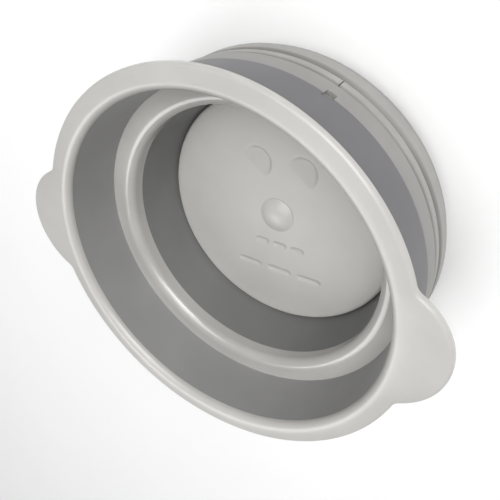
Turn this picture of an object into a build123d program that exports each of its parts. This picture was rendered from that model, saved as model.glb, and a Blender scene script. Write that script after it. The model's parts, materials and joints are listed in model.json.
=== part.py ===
from build123d import *
from math import cos, radians, sin, sqrt
import os

# Portable mini washer: a round bucket that folds down, standing on a ribbed base with the drive inside.
# Millimetres. Origin on the floor under the centre of the feet, +Z up through the mouth,
# +X through one ear of the rim. The control panel faces -Y and the drain leaves towards -X.

os.makedirs("parts", exist_ok=True)

# ---- Driving dimensions -----------------------------------------------------------------------
HEIGHT = 120.0  # floor to rim top
RIM_R = 140.0
RIM_EDGE = 5.5  # height of the rim's turned-down edge
RIM_SKIN = 2.6
MOUTH_R = 124.0
RIM_LIP_ROUND, RIM_EDGE_ROUND = 5.3, 2.0
EAR_CENTRE = 114.5
EAR_R = 46.3
EAR_BLEND = 9.0
RIM_RIBS, RIM_RIB_THICK = 24, 1.6
EAR_RIB_X, EAR_RIB_Y, EAR_RIB_LENGTH = 144.0, 14.0, 26.0
KEY_IN_R, KEY_OUT_R, KEY_DEPTH = 126.0, 127.2, 6.0  # rib under the rim that the sleeve grips

FIT_GAP = 0.3  # between pieces that move past each other
WALL = 2.4

SLEEVE_TOP = HEIGHT - RIM_EDGE - FIT_GAP
SLEEVE_TOP_R, SLEEVE_FOOT_R = 129.4, 128.3  # outer skin
SLEEVE_FOOT = 66.3
SLEEVE_SPLIT, SPLIT_IN_R, SPLIT_OUT_R = 100.0, 125.0, 126.7  # where the sleeve's two skins part
SHOULDER_R, SHOULDER_TOP, SHOULDER_FALL = 119.6, 77.2, 2.4  # fall of the step towards the lip
LIP_R, LIP_SKIN, LIP_ROUND = 101.2, 2.6, 8.0  # inner lip of the shoulder

COLLAR_R, COLLAR_TOP, COLLAR_FOOT = 127.8, 65.9, 53.5
DECK_TOP, DECK_FOOT = 61.1, 58.6  # web of the collar that carries the tub
TONGUE_R, TONGUE_IN_R, TONGUE_TOP = 125.5, 123.0, 76.3  # collar's tongue inside the sleeve
WEB_IN_R = 106.0
SPIGOT_IN_R, SPIGOT_R, SPIGOT_FOOT = 118.0, 120.2, 49.5  # collar's spigot inside the housing
DECK_SCREW_R, DECK_SCREWS, DECK_POST_R, DECK_SCREW_LENGTH = 112.0, 6, 3.4, 10.6
PILOT_R, CLEAR_R, THREAD_R = 1.3, 1.7, 1.25  # 2.5 mm self-tapping screws and their holes
HEAD_R, HEAD_THICK = 2.8, 1.8
SLOT_LENGTH, SLOT_WIDTH, SLOT_DEPTH = 3.6, 0.8, 0.9  # cross recess of the screws

TUB_TOP = 63.6
SHOULDER_FOOT = TUB_TOP + 0.1
TUB_TOP_R, TUB_DISC_R, TUB_DISC_Z = 101.4, 97.2, 26.3
TUB_FLOOR, TUB_UNDER = 19.5, 17.0
TUB_FLANGE_R = 118.5
TUB_BOSS_R, TUB_BOSS_TOP, TUB_BOSS_FOOT = 11.5, 22.8, 14.3
BOSS_BORE_R, BOSS_STOP_R, BOSS_STOP = 8.0, 6.8, 0.5  # bore for bearing and seal, and its stop below
STRAINER_HOLE_R, STRAINER_RING_R = 0.9, 2.2

HOUSING_TOP, HOUSING_FOOT = 53.2, 20.9
RIDGE_R, UPPER_RIDGE_R, GROOVE_R, NECK_R = 127.0, 126.9, 124.2, 123.5
GASKET_FOOT, GASKET_R, GASKET_IN_R = 20.3, 124.6, 122.7
COVER_R, COVER_UNDER, COVER_FLOOR = 125.2, 3.0, 5.4
COVER_SCREW_R, COVER_BOSS_R, COVER_SCREW_FIRST = 117.3, 4.0, 18.0
COVER_SCREWS = 5
COVER_FLAT_R, COVER_KNEE_R, COVER_KNEE = 108.0, 117.0, 7.4  # where the cover's floor turns up
COVER_SIDE_FOOT = 15.8  # where its sloping side meets the upright part
COVER_HEAD_SEAT, COVER_SCREW_LENGTH, COUNTERBORE_R = 13.0, 20.0, 3.2

DISC_R, DISC_CROWN, DISC_EDGE_TOP, DISC_SKIRT = 96.2, 27.3, 26.0, 22.2
DISC_SKIN = 2.3
CROWN_R = 93.0  # where the disc's crown meets its rounded edge
DISC_HUB_R, DISC_HUB_FOOT = 9.0, 23.3
BAR_UPPER_Y, BAR_LOWER_Y, BAR_WIDTH, BAR_FLOOR = -27.0, -51.5, 6.0, 26.2
VANES, VANE_MIDDLE_R, VANE_LENGTH, VANE_FOOT = 6, 54.0, 66.0, 20.7
CAP_R, CAP_IN_R, CAP_TOP, CAP_SIDE, CAP_SKIN = 14.0, 12.0, 31.8, 0.4, 1.4
DIMPLE_R, DIMPLE_X, DIMPLE_Y, DIMPLE_DEPTH = 12.6, 18.8, 39.9, 2.0
SHAFT_R, SHAFT_FOOT, SHAFT_TOP = 4.0, 5.8, 26.2
FLAT_DEPTH = 1.0  # of the shaft's flat
SHAFT_SCREW_FOOT, SHAFT_SCREW_HEAD_R = 16.5, 3.0
SEAL_FOOT, SEAL_TOP, SEAL_LIP_R = 19.9, 22.5, 5.2
UPPER_BEARING_HEIGHT, LOWER_BEARING_R, LOWER_BEARING_HEIGHT, SHIELD_DEPTH = 5.0, 6.0, 3.4, 0.4
RUN_GAP = 0.05  # radial running clearance of shafts and pins

PULLEY_R, PULLEY_FOOT, PULLEY_TOP, FLANGE = 44.0, 9.4, 13.8, 0.6
PULLEY_RIM, PULLEY_HUB_R, WEB_FOOT, WEB_TOP = 3.0, 9.0, 1.2, 3.2  # web heights above the pulley's foot
WEB_HOLES, WEB_HOLE_R, WEB_HOLE_CIRCLE_R = 6, 7.5, 25.0
BELT_THICK = 1.1
MOTOR_AZIMUTH, MOTOR_DISTANCE = 54.0, 109.8
MOTOR_PULLEY_R = 5.0
PULLEY_LIP = 1.2  # how far the pulleys' flanges stand out past the belt's seat
MOTOR_R, MOTOR_FLAT, MOTOR_BORE_R = 8.0, 12.4, 5.5
MOTOR_FOOT, MOTOR_TOP, MOTOR_BASE = 20.0, 45.0, 2.0
MOTOR_NOSE_R, MOTOR_NOSE, SPINDLE_R, END_CAP_THICK = 3.0, 1.6, 1.0, 2.2
ROTOR_R, ROTOR_FOOT, ROTOR_LENGTH, ROTOR_SLOT = 5.0, 23.5, 16.0, 1.0
COMMUTATOR_R, COMMUTATOR = 2.6, 4.0
MOTOR_SCREW_Y, MOTOR_SCREW_R, MOTOR_SCREW_HEAD_R = 5.6, 0.8, 1.5
BRACKET_FOOT, BRACKET_TOP, BRACKET_LENGTH, BRACKET_WIDTH = 17.7, 19.9, 38.0, 12.4
BRACKET_SCREW_Y, BRACKET_POST_R, BRACKET_SCREW_FOOT = 15.5, 3.2, 10.0

PANEL_HALF, PANEL_FOOT, PANEL_TOP, PANEL_R = 18.8, 24.2, 48.8, 127.8
PANEL_GAP, PANEL_EDGE, PANEL_BACK_R, PANEL_EDGE_ROUND = 0.2, 2.0, 121.2, 0.8
BUTTON_R, BUTTON_X, BUTTON_Z, BUTTON_FRONT, BUTTON_BACK = 5.5, 8.8, 35.0, 128.8, 121.4
BUTTON_FLANGE, STEM_R, STEM_BACK = 1.2, 2.2, 116.6
LENS_Z, LENS_R, LENS_BACK, LENS_LENGTH = 43.8, 1.5, 123.0, 5.1
SWITCH_SIZE, SWITCH_BODY, ACTUATOR_R, ACTUATOR = 6.0, 2.4, 1.7, 1.0
BOARD_Y, BOARD_THICK, BOARD_HALF, BOARD_FOOT, BOARD_TOP = -111.6, 1.6, 21.0, 25.0, 48.0

RAIL_Y, RAIL_WIDTH, RAIL_DEPTH, RAIL_HEIGHT = -114.6, 2.4, 13.2, 18.0
CHIP_PLACE, CHIP_SIZE, CHIP_THICK = (9.0, 34.0), (9.0, 6.0), 1.6
CAPACITOR_PLACE, CAPACITOR_R, CAPACITOR_LENGTH = (-9.0, 36.0), 3.1, 5.0

JACK_AZIMUTH, JACK_Z, JACK_FACE, JACK_R, JACK_BACK = 212.0, 33.0, 127.6, 5.5, 109.0
JACK_PAD_R, JACK_PAD_BACK, JACK_COLLAR_R, JACK_COLLAR = 9.0, 119.4, 7.4, 1.1
SOCKET_R, SOCKET_PIN_R, SOCKET_DEPTH = 2.75, 1.0, 9.5
NUT_R, NUT_BACK, NUT_THICK = 8.6, 116.9, 2.5
CAP_HINGE_UP, CAP_HINGE_R, CAP_PIN_R, CAP_LUG_X = 10.5, 130.2, 0.8, 6.2
CAP_DISC_R, CAP_DISC_BACK, CAP_DISC_THICK = 7.2, 1.4, 1.9  # dust cap; its back stands off the pad's face
KNUCKLE_R, KNUCKLE_HALF = 1.6, 4.6

DRAIN_Z, DRAIN_BODY_R, DRAIN_SPOUT_R, DRAIN_BORE = 11.6, 5.3, 4.75, 3.5
DRAIN_PORT_X, DRAIN_PAD_X, DRAIN_STEP_X, DRAIN_END_X = -86.0, -126.0, -129.0, -137.0
DRAIN_PAD_R, DRAIN_PORT_BORE = 8.4, 3.2
DRAIN_SEAL_WALL, DRAIN_SEAL_THICK = 2.0, 1.6
PLUG_DEPTH, PLUG_FLANGE, PLUG_GRIP_LENGTH, PLUG_GRIP_WIDTH = 9.0, 2.2, 10.0, 7.6
PLUG_GRIP_THICK, PLUG_HOLE_R = 1.8, 1.8

FOOT_R, FOOT_CIRCLE_R, FEET = 9.0, 92.0, 4
NOTCH_AZIMUTH, NOTCH_WIDTH, NOTCH_FOOT, NOTCH_TOP = 66.0, 7.0, 60.8, 70.0
NOTCH_CUT = 6.0  # height cut out of each of the two pieces that meet in the notch
SEAM_WIDTH, SEAM_FOOT = 0.9, 36.0


def radial_plane(azimuth, height):
    """A plane that faces outwards at an azimuth: local x runs round the body, y up and z outwards."""
    a = radians(azimuth)
    return Plane(origin=(0, 0, height), x_dir=(-sin(a), cos(a), 0), z_dir=(cos(a), sin(a), 0))


def dome_height(radius, edge_radius, top, edge_height):
    """Height of a spherical dome, centred on the axis, at a radius."""
    rise = top - edge_height
    sphere_r = (edge_radius**2 + rise**2) / (2 * rise)
    return top - sphere_r + sqrt(sphere_r**2 - radius**2)


def tub_wall_r(height):
    """Inner radius of the tub's slightly tapered wall."""
    return TUB_DISC_R + (height - TUB_DISC_Z) * (TUB_TOP_R - TUB_DISC_R) / (TUB_TOP - TUB_DISC_Z)


motor_x = MOTOR_DISTANCE * cos(radians(MOTOR_AZIMUTH))
motor_y = MOTOR_DISTANCE * sin(radians(MOTOR_AZIMUTH))
motor_axis = Location((motor_x, motor_y, 0), (0, 0, MOTOR_AZIMUTH))
motor_screw_places = [(0, MOTOR_SCREW_Y), (0, -MOTOR_SCREW_Y)]
bracket_screw_places = [(0, BRACKET_SCREW_Y), (0, -BRACKET_SCREW_Y)]
jack_plane = radial_plane(JACK_AZIMUTH, JACK_Z)
cap_hinge = Plane(jack_plane.location * Location((0, CAP_HINGE_UP, CAP_HINGE_R), (0, 90, 0)))
notch_plane = radial_plane(NOTCH_AZIMUTH, (NOTCH_FOOT + NOTCH_TOP) / 2)

# ---- Rim: a flat ring with two ears, turned down at its edge --------------------------------------
with BuildPart() as rim_ring:
    with BuildSketch(Plane.XY.offset(HEIGHT - RIM_EDGE)) as rim_outline:
        Circle(RIM_R)
        with Locations((EAR_CENTRE, 0), (-EAR_CENTRE, 0)):
            Circle(EAR_R)
        fillet(rim_outline.vertices().filter_by(lambda v: abs(v.Y) > 1), EAR_BLEND)
    extrude(amount=RIM_EDGE)
    with BuildSketch(Plane.XY.offset(HEIGHT - RIM_EDGE)):
        Circle(MOUTH_R)
    extrude(amount=RIM_EDGE, mode=Mode.SUBTRACT)
    rim_top_edges = rim_ring.edges().group_by(Axis.Z)[-1]
    mouth_edge = rim_top_edges.filter_by(GeomType.CIRCLE).sort_by(lambda e: (e.radius - MOUTH_R) ** 2)[0]
    fillet(mouth_edge, RIM_LIP_ROUND)
    outer_edges = rim_ring.edges().filter_by(
        lambda e: (e @ 0.5).X ** 2 + (e @ 0.5).Y ** 2 > (RIM_R - 1) ** 2 and abs((e % 0.5).Z) < 0.01
    )
    fillet(outer_edges, RIM_EDGE_ROUND)
    with BuildSketch(Plane.XY.offset(HEIGHT - RIM_EDGE)):
        Circle(RIM_R - WALL)
        with Locations((EAR_CENTRE, 0), (-EAR_CENTRE, 0)):
            Circle(EAR_R - WALL)
        Circle(SLEEVE_TOP_R + 0.4, mode=Mode.SUBTRACT)
    extrude(amount=RIM_EDGE - RIM_SKIN, mode=Mode.SUBTRACT)
    with BuildSketch(Plane.XY.offset(HEIGHT - RIM_EDGE)):
        Circle(KEY_OUT_R)
        Circle(KEY_IN_R, mode=Mode.SUBTRACT)
    extrude(amount=-KEY_DEPTH)
    # stiffening ribs across the hollow, three in each ear and the rest round the flange
    with BuildSketch(Plane.XY.offset(HEIGHT - RIM_EDGE + 0.8)):
        with PolarLocations(SLEEVE_TOP_R + 4.6, RIM_RIBS, 180 / RIM_RIBS):
            Rectangle(9.6, RIM_RIB_THICK)
        for side in (1, -1):
            ear_rib_x = side * EAR_RIB_X
            with Locations((ear_rib_x, -EAR_RIB_Y), (ear_rib_x + 2 * side, 0), (ear_rib_x, EAR_RIB_Y)):
                Rectangle(EAR_RIB_LENGTH, RIM_RIB_THICK)
    extrude(amount=RIM_EDGE - RIM_SKIN)
rim_ring.part.label = "rim_ring"

# ---- Folding sleeve: two soft skins joined at the top, open below over the collar -----------------
with BuildPart() as folding_sleeve:
    with BuildSketch(Plane.XZ):
        with BuildLine():
            Polyline(
                (SHOULDER_R, SHOULDER_TOP),
                (SHOULDER_R + WALL, SHOULDER_TOP),
                (SPLIT_IN_R, SLEEVE_SPLIT),
                (SPLIT_OUT_R, SLEEVE_SPLIT),
                (SLEEVE_FOOT_R - WALL, SLEEVE_FOOT),
                (SLEEVE_FOOT_R, SLEEVE_FOOT),
                (SLEEVE_TOP_R, SLEEVE_TOP),
                (KEY_OUT_R + FIT_GAP, SLEEVE_TOP),
                (KEY_OUT_R + FIT_GAP, SLEEVE_TOP - KEY_DEPTH),
                (KEY_IN_R - FIT_GAP, SLEEVE_TOP - KEY_DEPTH),
                (KEY_IN_R - FIT_GAP, SLEEVE_TOP),
                (MOUTH_R, SLEEVE_TOP),
                close=True,
            )
        make_face()
    revolve(axis=Axis.Z)
    with BuildSketch(notch_plane.offset(SLEEVE_FOOT_R - WALL / 2)):
        with Locations((0, (NOTCH_TOP - NOTCH_FOOT - NOTCH_CUT) / 2)):
            Rectangle(NOTCH_WIDTH, NOTCH_CUT)
    extrude(amount=WALL, mode=Mode.SUBTRACT)
folding_sleeve.part.label = "folding_sleeve"

# ---- Shoulder ring: the light step between the two chambers ---------------------------------------
with BuildPart() as shoulder_ring:
    with BuildSketch(Plane.XZ):
        with BuildLine():
            FilletPolyline(
                (LIP_R, SHOULDER_FOOT),
                (LIP_R, SHOULDER_TOP - SHOULDER_FALL),
                (SHOULDER_R, SHOULDER_TOP),
                (SHOULDER_R + WALL, SHOULDER_TOP),
                (SHOULDER_R + WALL, COLLAR_TOP + 0.2),
                (SHOULDER_R, COLLAR_TOP + 0.2),
                (SHOULDER_R, SHOULDER_TOP - LIP_SKIN),
                (LIP_R + LIP_SKIN + 0.6, SHOULDER_TOP - SHOULDER_FALL - WALL),
                (LIP_R + LIP_SKIN, SHOULDER_FOOT),
                radius=[0, LIP_ROUND, 0, 0, 0, 0, 0, LIP_ROUND - 3.0, 0],
                close=True,
            )
        make_face()
    revolve(axis=Axis.Z)
    with BuildSketch(Plane.XY.offset(SHOULDER_FOOT)):
        with PolarLocations(DECK_SCREW_R, DECK_SCREWS):
            Circle(DECK_POST_R)
    extrude(amount=SHOULDER_TOP - 2.7 - SHOULDER_FOOT)
    with BuildSketch(Plane.XY.offset(SHOULDER_FOOT)):
        with PolarLocations(DECK_SCREW_R, DECK_SCREWS):
            Circle(PILOT_R)
    extrude(amount=6.2, mode=Mode.SUBTRACT)
shoulder_ring.part.label = "shoulder_ring"

# ---- Collar ring: light band that closes the base and carries the tub on its inner web ------------
with BuildPart() as collar_ring:
    with BuildSketch(Plane.XZ):
        with BuildLine():
            FilletPolyline(
                (COLLAR_R, COLLAR_FOOT),
                (COLLAR_R, COLLAR_TOP),
                (TONGUE_R, COLLAR_TOP),
                (TONGUE_R, TONGUE_TOP),
                (TONGUE_IN_R, TONGUE_TOP),
                (TONGUE_IN_R, DECK_TOP),
                (WEB_IN_R, DECK_TOP),
                (WEB_IN_R, DECK_FOOT),
                (SPIGOT_IN_R, DECK_FOOT),
                (SPIGOT_IN_R, SPIGOT_FOOT),
                (SPIGOT_R, SPIGOT_FOOT),
                (SPIGOT_R, DECK_FOOT),
                (COLLAR_R - 2.6, DECK_FOOT),
                (COLLAR_R - 2.6, COLLAR_FOOT),
                radius=[1.1, 1.4, 0, 0, 0, 0, 0, 0, 0, 0, 0, 0, 0, 0],
                close=True,
            )
        make_face()
    revolve(axis=Axis.Z)
    with BuildSketch(notch_plane.offset(COLLAR_R - 2.0)):
        with Locations((0, -(NOTCH_TOP - NOTCH_FOOT - NOTCH_CUT) / 2)):
            Rectangle(NOTCH_WIDTH, NOTCH_CUT)
    extrude(amount=6.0, mode=Mode.SUBTRACT)
    with BuildSketch(Plane.XY.offset(DECK_FOOT)):
        with PolarLocations(DECK_SCREW_R, DECK_SCREWS):
            Circle(CLEAR_R)
    extrude(amount=DECK_TOP - DECK_FOOT, mode=Mode.SUBTRACT)
collar_ring.part.label = "collar_ring"

# ---- Inner tub: the lower chamber, hung by its flange between collar and shoulder ------------------
with BuildPart() as inner_tub:
    with BuildSketch(Plane.XZ):
        with BuildLine():
            FilletPolyline(
                (0, TUB_UNDER),
                (tub_wall_r(TUB_UNDER) + WALL, TUB_UNDER),
                (tub_wall_r(DECK_TOP) + WALL, DECK_TOP),
                (TUB_FLANGE_R, DECK_TOP),
                (TUB_FLANGE_R, TUB_TOP),
                (TUB_TOP_R, TUB_TOP),
                (tub_wall_r(TUB_FLOOR), TUB_FLOOR),
                (0, TUB_FLOOR),
                radius=[0, 3.5, 1.0, 0, 0, 0, 1.8, 0],
                close=True,
            )
        make_face()
    revolve(axis=Axis.Z)
    with BuildSketch(Plane.XY.offset(TUB_BOSS_FOOT)):
        Circle(TUB_BOSS_R)
    extrude(amount=TUB_BOSS_TOP - TUB_BOSS_FOOT)
    with BuildSketch(Plane.XY.offset(TUB_BOSS_FOOT)):
        Circle(BOSS_STOP_R)
    extrude(amount=BOSS_STOP, mode=Mode.SUBTRACT)
    with BuildSketch(Plane.XY.offset(TUB_BOSS_FOOT + BOSS_STOP)):
        Circle(BOSS_BORE_R)
    extrude(amount=TUB_BOSS_TOP - TUB_BOSS_FOOT - BOSS_STOP, mode=Mode.SUBTRACT)
    with BuildSketch(Plane.XY.offset(TUB_UNDER)):
        with PolarLocations(DECK_SCREW_R, DECK_SCREWS):
            Circle(CLEAR_R)
        # strainer over the drain port
        with Locations((DRAIN_PORT_X, 0)):
            Circle(STRAINER_HOLE_R)
            with PolarLocations(STRAINER_RING_R, 6):
                Circle(STRAINER_HOLE_R)
    extrude(amount=TUB_TOP - TUB_UNDER, mode=Mode.SUBTRACT)
inner_tub.part.label = "inner_tub"

# ---- Base housing: ribbed outer wall of the base ---------------------------------------------------
with BuildPart() as base_housing:
    with BuildSketch(Plane.XZ):
        with BuildLine():
            FilletPolyline(
                (NECK_R - 2.5, HOUSING_TOP),
                (NECK_R - 2.5, 45.6),
                (UPPER_RIDGE_R - 2.7, 43.2),
                (UPPER_RIDGE_R - 2.7, 39.8),
                (GROOVE_R - 2.6, 37.4),
                (GROOVE_R - 2.6, 33.6),
                (RIDGE_R - 2.6, 31.2),
                (RIDGE_R - 2.6, 22.8),
                (122.4, HOUSING_FOOT),
                (RIDGE_R - 1.6, HOUSING_FOOT),
                (RIDGE_R, 23.0),
                (RIDGE_R, 32.4),
                (GROOVE_R, 34.6),
                (GROOVE_R, 36.4),
                (UPPER_RIDGE_R, 38.8),
                (UPPER_RIDGE_R, 44.2),
                (NECK_R, 46.8),
                (NECK_R, HOUSING_TOP),
                radius=[0, 1, 1, 1, 1, 1, 1, 0.8, 0, 0, 1.4, 1.4, 0.7, 0.7, 1.6, 1.6, 1.2, 0],
                close=True,
            )
        make_face()
    revolve(axis=Axis.Z)
    # window for the control panel, and its guide rails for the board
    with BuildSketch(Plane.XZ.offset(119.0)):
        with Locations((0, (PANEL_FOOT + PANEL_TOP) / 2)):
            Rectangle(2 * PANEL_HALF, PANEL_TOP - PANEL_FOOT)
    extrude(amount=10.0, mode=Mode.SUBTRACT)
    with BuildSketch(Plane.XY.offset(BOARD_FOOT + 0.2)):
        with Locations((BOARD_HALF + FIT_GAP, RAIL_Y), (-BOARD_HALF - FIT_GAP, RAIL_Y)):
            Rectangle(RAIL_WIDTH, RAIL_DEPTH)
    extrude(amount=RAIL_HEIGHT)
    with BuildSketch(Plane.XY.offset(BOARD_FOOT)):
        with Locations((0, BOARD_Y + BOARD_THICK / 2)):
            Rectangle(2 * BOARD_HALF, BOARD_THICK)
    extrude(amount=BOARD_TOP - BOARD_FOOT, mode=Mode.SUBTRACT)
    # flat pad for the power inlet, with lugs for its cap's pin
    with BuildSketch(jack_plane.offset(JACK_PAD_BACK)):
        Circle(JACK_PAD_R)
    extrude(amount=JACK_FACE - JACK_PAD_BACK)
    lug_back = JACK_FACE - 5.0
    with BuildSketch(jack_plane.offset(lug_back)):
        with Locations((CAP_LUG_X, CAP_HINGE_UP), (-CAP_LUG_X, CAP_HINGE_UP)):
            RectangleRounded(2.4, 4.6, 1.0)
    extrude(amount=CAP_HINGE_R + 1.9 - lug_back)
    with BuildSketch(jack_plane.offset(JACK_PAD_BACK)):
        Circle(JACK_R)
    extrude(amount=JACK_PAD_R, mode=Mode.SUBTRACT)
    with BuildSketch(cap_hinge):
        Circle(CAP_PIN_R)
    extrude(amount=8.0, both=True, mode=Mode.SUBTRACT)
    # screw posts, tied to the wall by short ribs
    with BuildSketch(Plane.XY.offset(HOUSING_FOOT)):
        with PolarLocations(COVER_SCREW_R, COVER_SCREWS, COVER_SCREW_FIRST):
            Circle(COVER_BOSS_R)
        with PolarLocations(COVER_SCREW_R + 3.4, COVER_SCREWS, COVER_SCREW_FIRST):
            Rectangle(4.4, WALL)
    extrude(amount=COVER_SCREW_LENGTH + 5.0)
    with BuildSketch(Plane.XY.offset(HOUSING_FOOT)):
        with PolarLocations(COVER_SCREW_R, COVER_SCREWS, COVER_SCREW_FIRST):
            Circle(PILOT_R)
    extrude(amount=COVER_SCREW_LENGTH - 4.0, mode=Mode.SUBTRACT)
    # parting seam below the notch
    with BuildSketch(radial_plane(NOTCH_AZIMUTH + 1, 0).offset(NECK_R - 0.5)):
        with Locations((0, (HOUSING_TOP + SEAM_FOOT) / 2)):
            Rectangle(SEAM_WIDTH, HOUSING_TOP - SEAM_FOOT)
    extrude(amount=RIDGE_R - NECK_R + 1.0, mode=Mode.SUBTRACT)
base_housing.part.label = "base_housing"

# ---- Base gasket: thin dark line between housing and bottom cover ----------------------------------
with BuildPart() as base_gasket:
    with BuildSketch(Plane.XY.offset(GASKET_FOOT)):
        Circle(GASKET_R)
        Circle(GASKET_IN_R, mode=Mode.SUBTRACT)
    extrude(amount=HOUSING_FOOT - GASKET_FOOT)
base_gasket.part.label = "base_gasket"

# ---- Bottom cover: closes the base from below ------------------------------------------------------
with BuildPart() as bottom_cover:
    with BuildSketch(Plane.XZ):
        with BuildLine():
            FilletPolyline(
                (0, COVER_UNDER),
                (COVER_FLAT_R, COVER_UNDER),
                (COVER_KNEE_R, COVER_KNEE),
                (COVER_R, COVER_SIDE_FOOT),
                (COVER_R, GASKET_FOOT),
                (COVER_R - WALL, GASKET_FOOT),
                (COVER_R - WALL, 16.8),
                (COVER_KNEE_R - 1.6, COVER_KNEE + 1.9),
                (COVER_FLAT_R - 0.6, COVER_FLOOR),
                (0, COVER_FLOOR),
                radius=[0, 8, 8, 5, 0, 0, 3, 6, 6, 0],
                close=True,
            )
        make_face()
    revolve(axis=Axis.Z)
    # screw posts, kept inside the cover's sloping side
    with BuildSketch(Plane.XY.offset(COVER_HEAD_SEAT - 4.0)):
        with PolarLocations(COVER_SCREW_R, COVER_SCREWS, COVER_SCREW_FIRST):
            Circle(COVER_BOSS_R + 0.6)
    extrude(amount=HOUSING_FOOT - 0.1 - COVER_HEAD_SEAT + 4.0)
    with BuildSketch(Plane.XZ):
        with BuildLine():
            Polyline(
                (COVER_KNEE_R, COVER_KNEE),
                (COVER_R, COVER_SIDE_FOOT),
                (COVER_R + WALL, COVER_SIDE_FOOT),
                (COVER_R + WALL, COVER_KNEE),
                close=True,
            )
        make_face()
    revolve(axis=Axis.Z, mode=Mode.SUBTRACT)
    # flat pad round the drain outlet
    with BuildSketch(Plane.YZ.offset(-COVER_FLAT_R - 1.0)):
        with Locations((0, DRAIN_Z)):
            Circle(DRAIN_PAD_R)
    extrude(amount=DRAIN_PAD_X + COVER_FLAT_R + 1.0)
    with BuildSketch(Plane.YZ.offset(-COVER_FLAT_R + 1.0)):
        with Locations((0, DRAIN_Z)):
            Circle(DRAIN_BODY_R)
    extrude(amount=DRAIN_PAD_X + COVER_FLAT_R - 2.0, mode=Mode.SUBTRACT)
    # counterbores and holes of the screw posts
    with BuildSketch(Plane.XY.offset(COVER_UNDER)):
        with PolarLocations(COVER_SCREW_R, COVER_SCREWS, COVER_SCREW_FIRST):
            Circle(COUNTERBORE_R)
    extrude(amount=COVER_HEAD_SEAT - COVER_UNDER, mode=Mode.SUBTRACT)
    with BuildSketch(Plane.XY.offset(COVER_UNDER)):
        with PolarLocations(COVER_SCREW_R, COVER_SCREWS, COVER_SCREW_FIRST):
            Circle(CLEAR_R - 0.1)
    extrude(amount=HOUSING_FOOT - COVER_UNDER, mode=Mode.SUBTRACT)
    # pocket of the lower bearing
    with BuildSketch(Plane.XY.offset(COVER_FLOOR)):
        Circle(LOWER_BEARING_R + 3.0)
        Circle(LOWER_BEARING_R, mode=Mode.SUBTRACT)
    extrude(amount=LOWER_BEARING_HEIGHT + 0.1)
    # relief under the motor's pulley
    with BuildSketch(Plane.XY.offset(PULLEY_FOOT - 0.4)):
        with Locations((motor_x, motor_y)):
            Circle(MOTOR_PULLEY_R + PULLEY_LIP + 0.6)
    extrude(amount=6.0, mode=Mode.SUBTRACT)
    # posts of the motor bracket
    with BuildSketch(Plane.XY.offset(COVER_FLOOR + 0.6)):
        with Locations(motor_axis):
            with Locations(*bracket_screw_places):
                Circle(BRACKET_POST_R)
    extrude(amount=BRACKET_FOOT - COVER_FLOOR - 0.6)
    with BuildSketch(Plane.XY.offset(BRACKET_SCREW_FOOT - 1.0)):
        with Locations(motor_axis):
            with Locations(*bracket_screw_places):
                Circle(PILOT_R - 0.1)
    extrude(amount=BRACKET_SCREW_FOOT, mode=Mode.SUBTRACT)
bottom_cover.part.label = "bottom_cover"

# ---- Wash disc: crowned plate that turns on the tub's floor ----------------------------------------
with BuildPart() as wash_disc:
    with BuildSketch(Plane.XZ):
        with BuildLine():
            crown_middle = (CROWN_R / 2, dome_height(CROWN_R / 2, CROWN_R, DISC_CROWN, DISC_EDGE_TOP))
            ThreePointArc((0, DISC_CROWN), crown_middle, (CROWN_R, DISC_EDGE_TOP))
            ThreePointArc((CROWN_R, DISC_EDGE_TOP), (95.4, 25.1), (DISC_R, 23.2))
            Polyline(
                (DISC_R, 23.2),
                (DISC_R, DISC_SKIRT),
                (DISC_R - 2.0, DISC_SKIRT),
                (DISC_R - 3.2, DISC_EDGE_TOP - DISC_SKIN),
                (DISC_HUB_R, DISC_CROWN - DISC_SKIN),
                (DISC_HUB_R, DISC_HUB_FOOT),
                (0, DISC_HUB_FOOT),
                (0, DISC_CROWN),
            )
        make_face()
    revolve(axis=Axis.Z)
    # dishes under the finger dimples, so that the skin keeps its thickness
    with BuildSketch(Plane.XY.offset(22.6)):
        with Locations((DIMPLE_X, DIMPLE_Y), (-DIMPLE_X, DIMPLE_Y)):
            Circle(DIMPLE_R)
    extrude(amount=2.5)
    with BuildSketch(Plane.XY.offset(27.2)):
        with Locations((DIMPLE_X, DIMPLE_Y), (-DIMPLE_X, DIMPLE_Y)):
            Circle(DIMPLE_R)
    extrude(amount=-DIMPLE_DEPTH - 0.3, taper=38, mode=Mode.SUBTRACT)
    # plain bars sunk into the plate: a row of three and a longer row of three
    with BuildSketch(Plane.XY.offset(BAR_FLOOR)):
        with Locations((-12.5, BAR_UPPER_Y), (3.0, BAR_UPPER_Y), (18.5, BAR_UPPER_Y)):
            SlotOverall(13.0, BAR_WIDTH)
        with Locations((-24.0, BAR_LOWER_Y), (3.0, BAR_LOWER_Y), (29.5, BAR_LOWER_Y)):
            SlotOverall(22.0, BAR_WIDTH)
    extrude(amount=DISC_CROWN - BAR_FLOOR + 1.0, mode=Mode.SUBTRACT)
    # pumping vanes underneath
    with BuildSketch(Plane.XY.offset(VANE_FOOT)):
        with PolarLocations(VANE_MIDDLE_R, VANES, 180 / VANES):
            Rectangle(VANE_LENGTH, WALL)
    extrude(amount=3.6)
    # seat of the shaft with its flat, and the hole of the screw
    with BuildSketch(Plane.XY.offset(DISC_HUB_FOOT)):
        Circle(SHAFT_R)
        with Locations((SHAFT_R, 0)):
            Rectangle(2 * FLAT_DEPTH, 2 * SHAFT_R, mode=Mode.SUBTRACT)
    extrude(amount=SHAFT_TOP - DISC_HUB_FOOT, mode=Mode.SUBTRACT)
    with BuildSketch(Plane.XY.offset(SHAFT_TOP - 0.5)):
        Circle(1.6)
    extrude(amount=3.0, mode=Mode.SUBTRACT)
wash_disc.part.label = "wash_disc"

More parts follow.
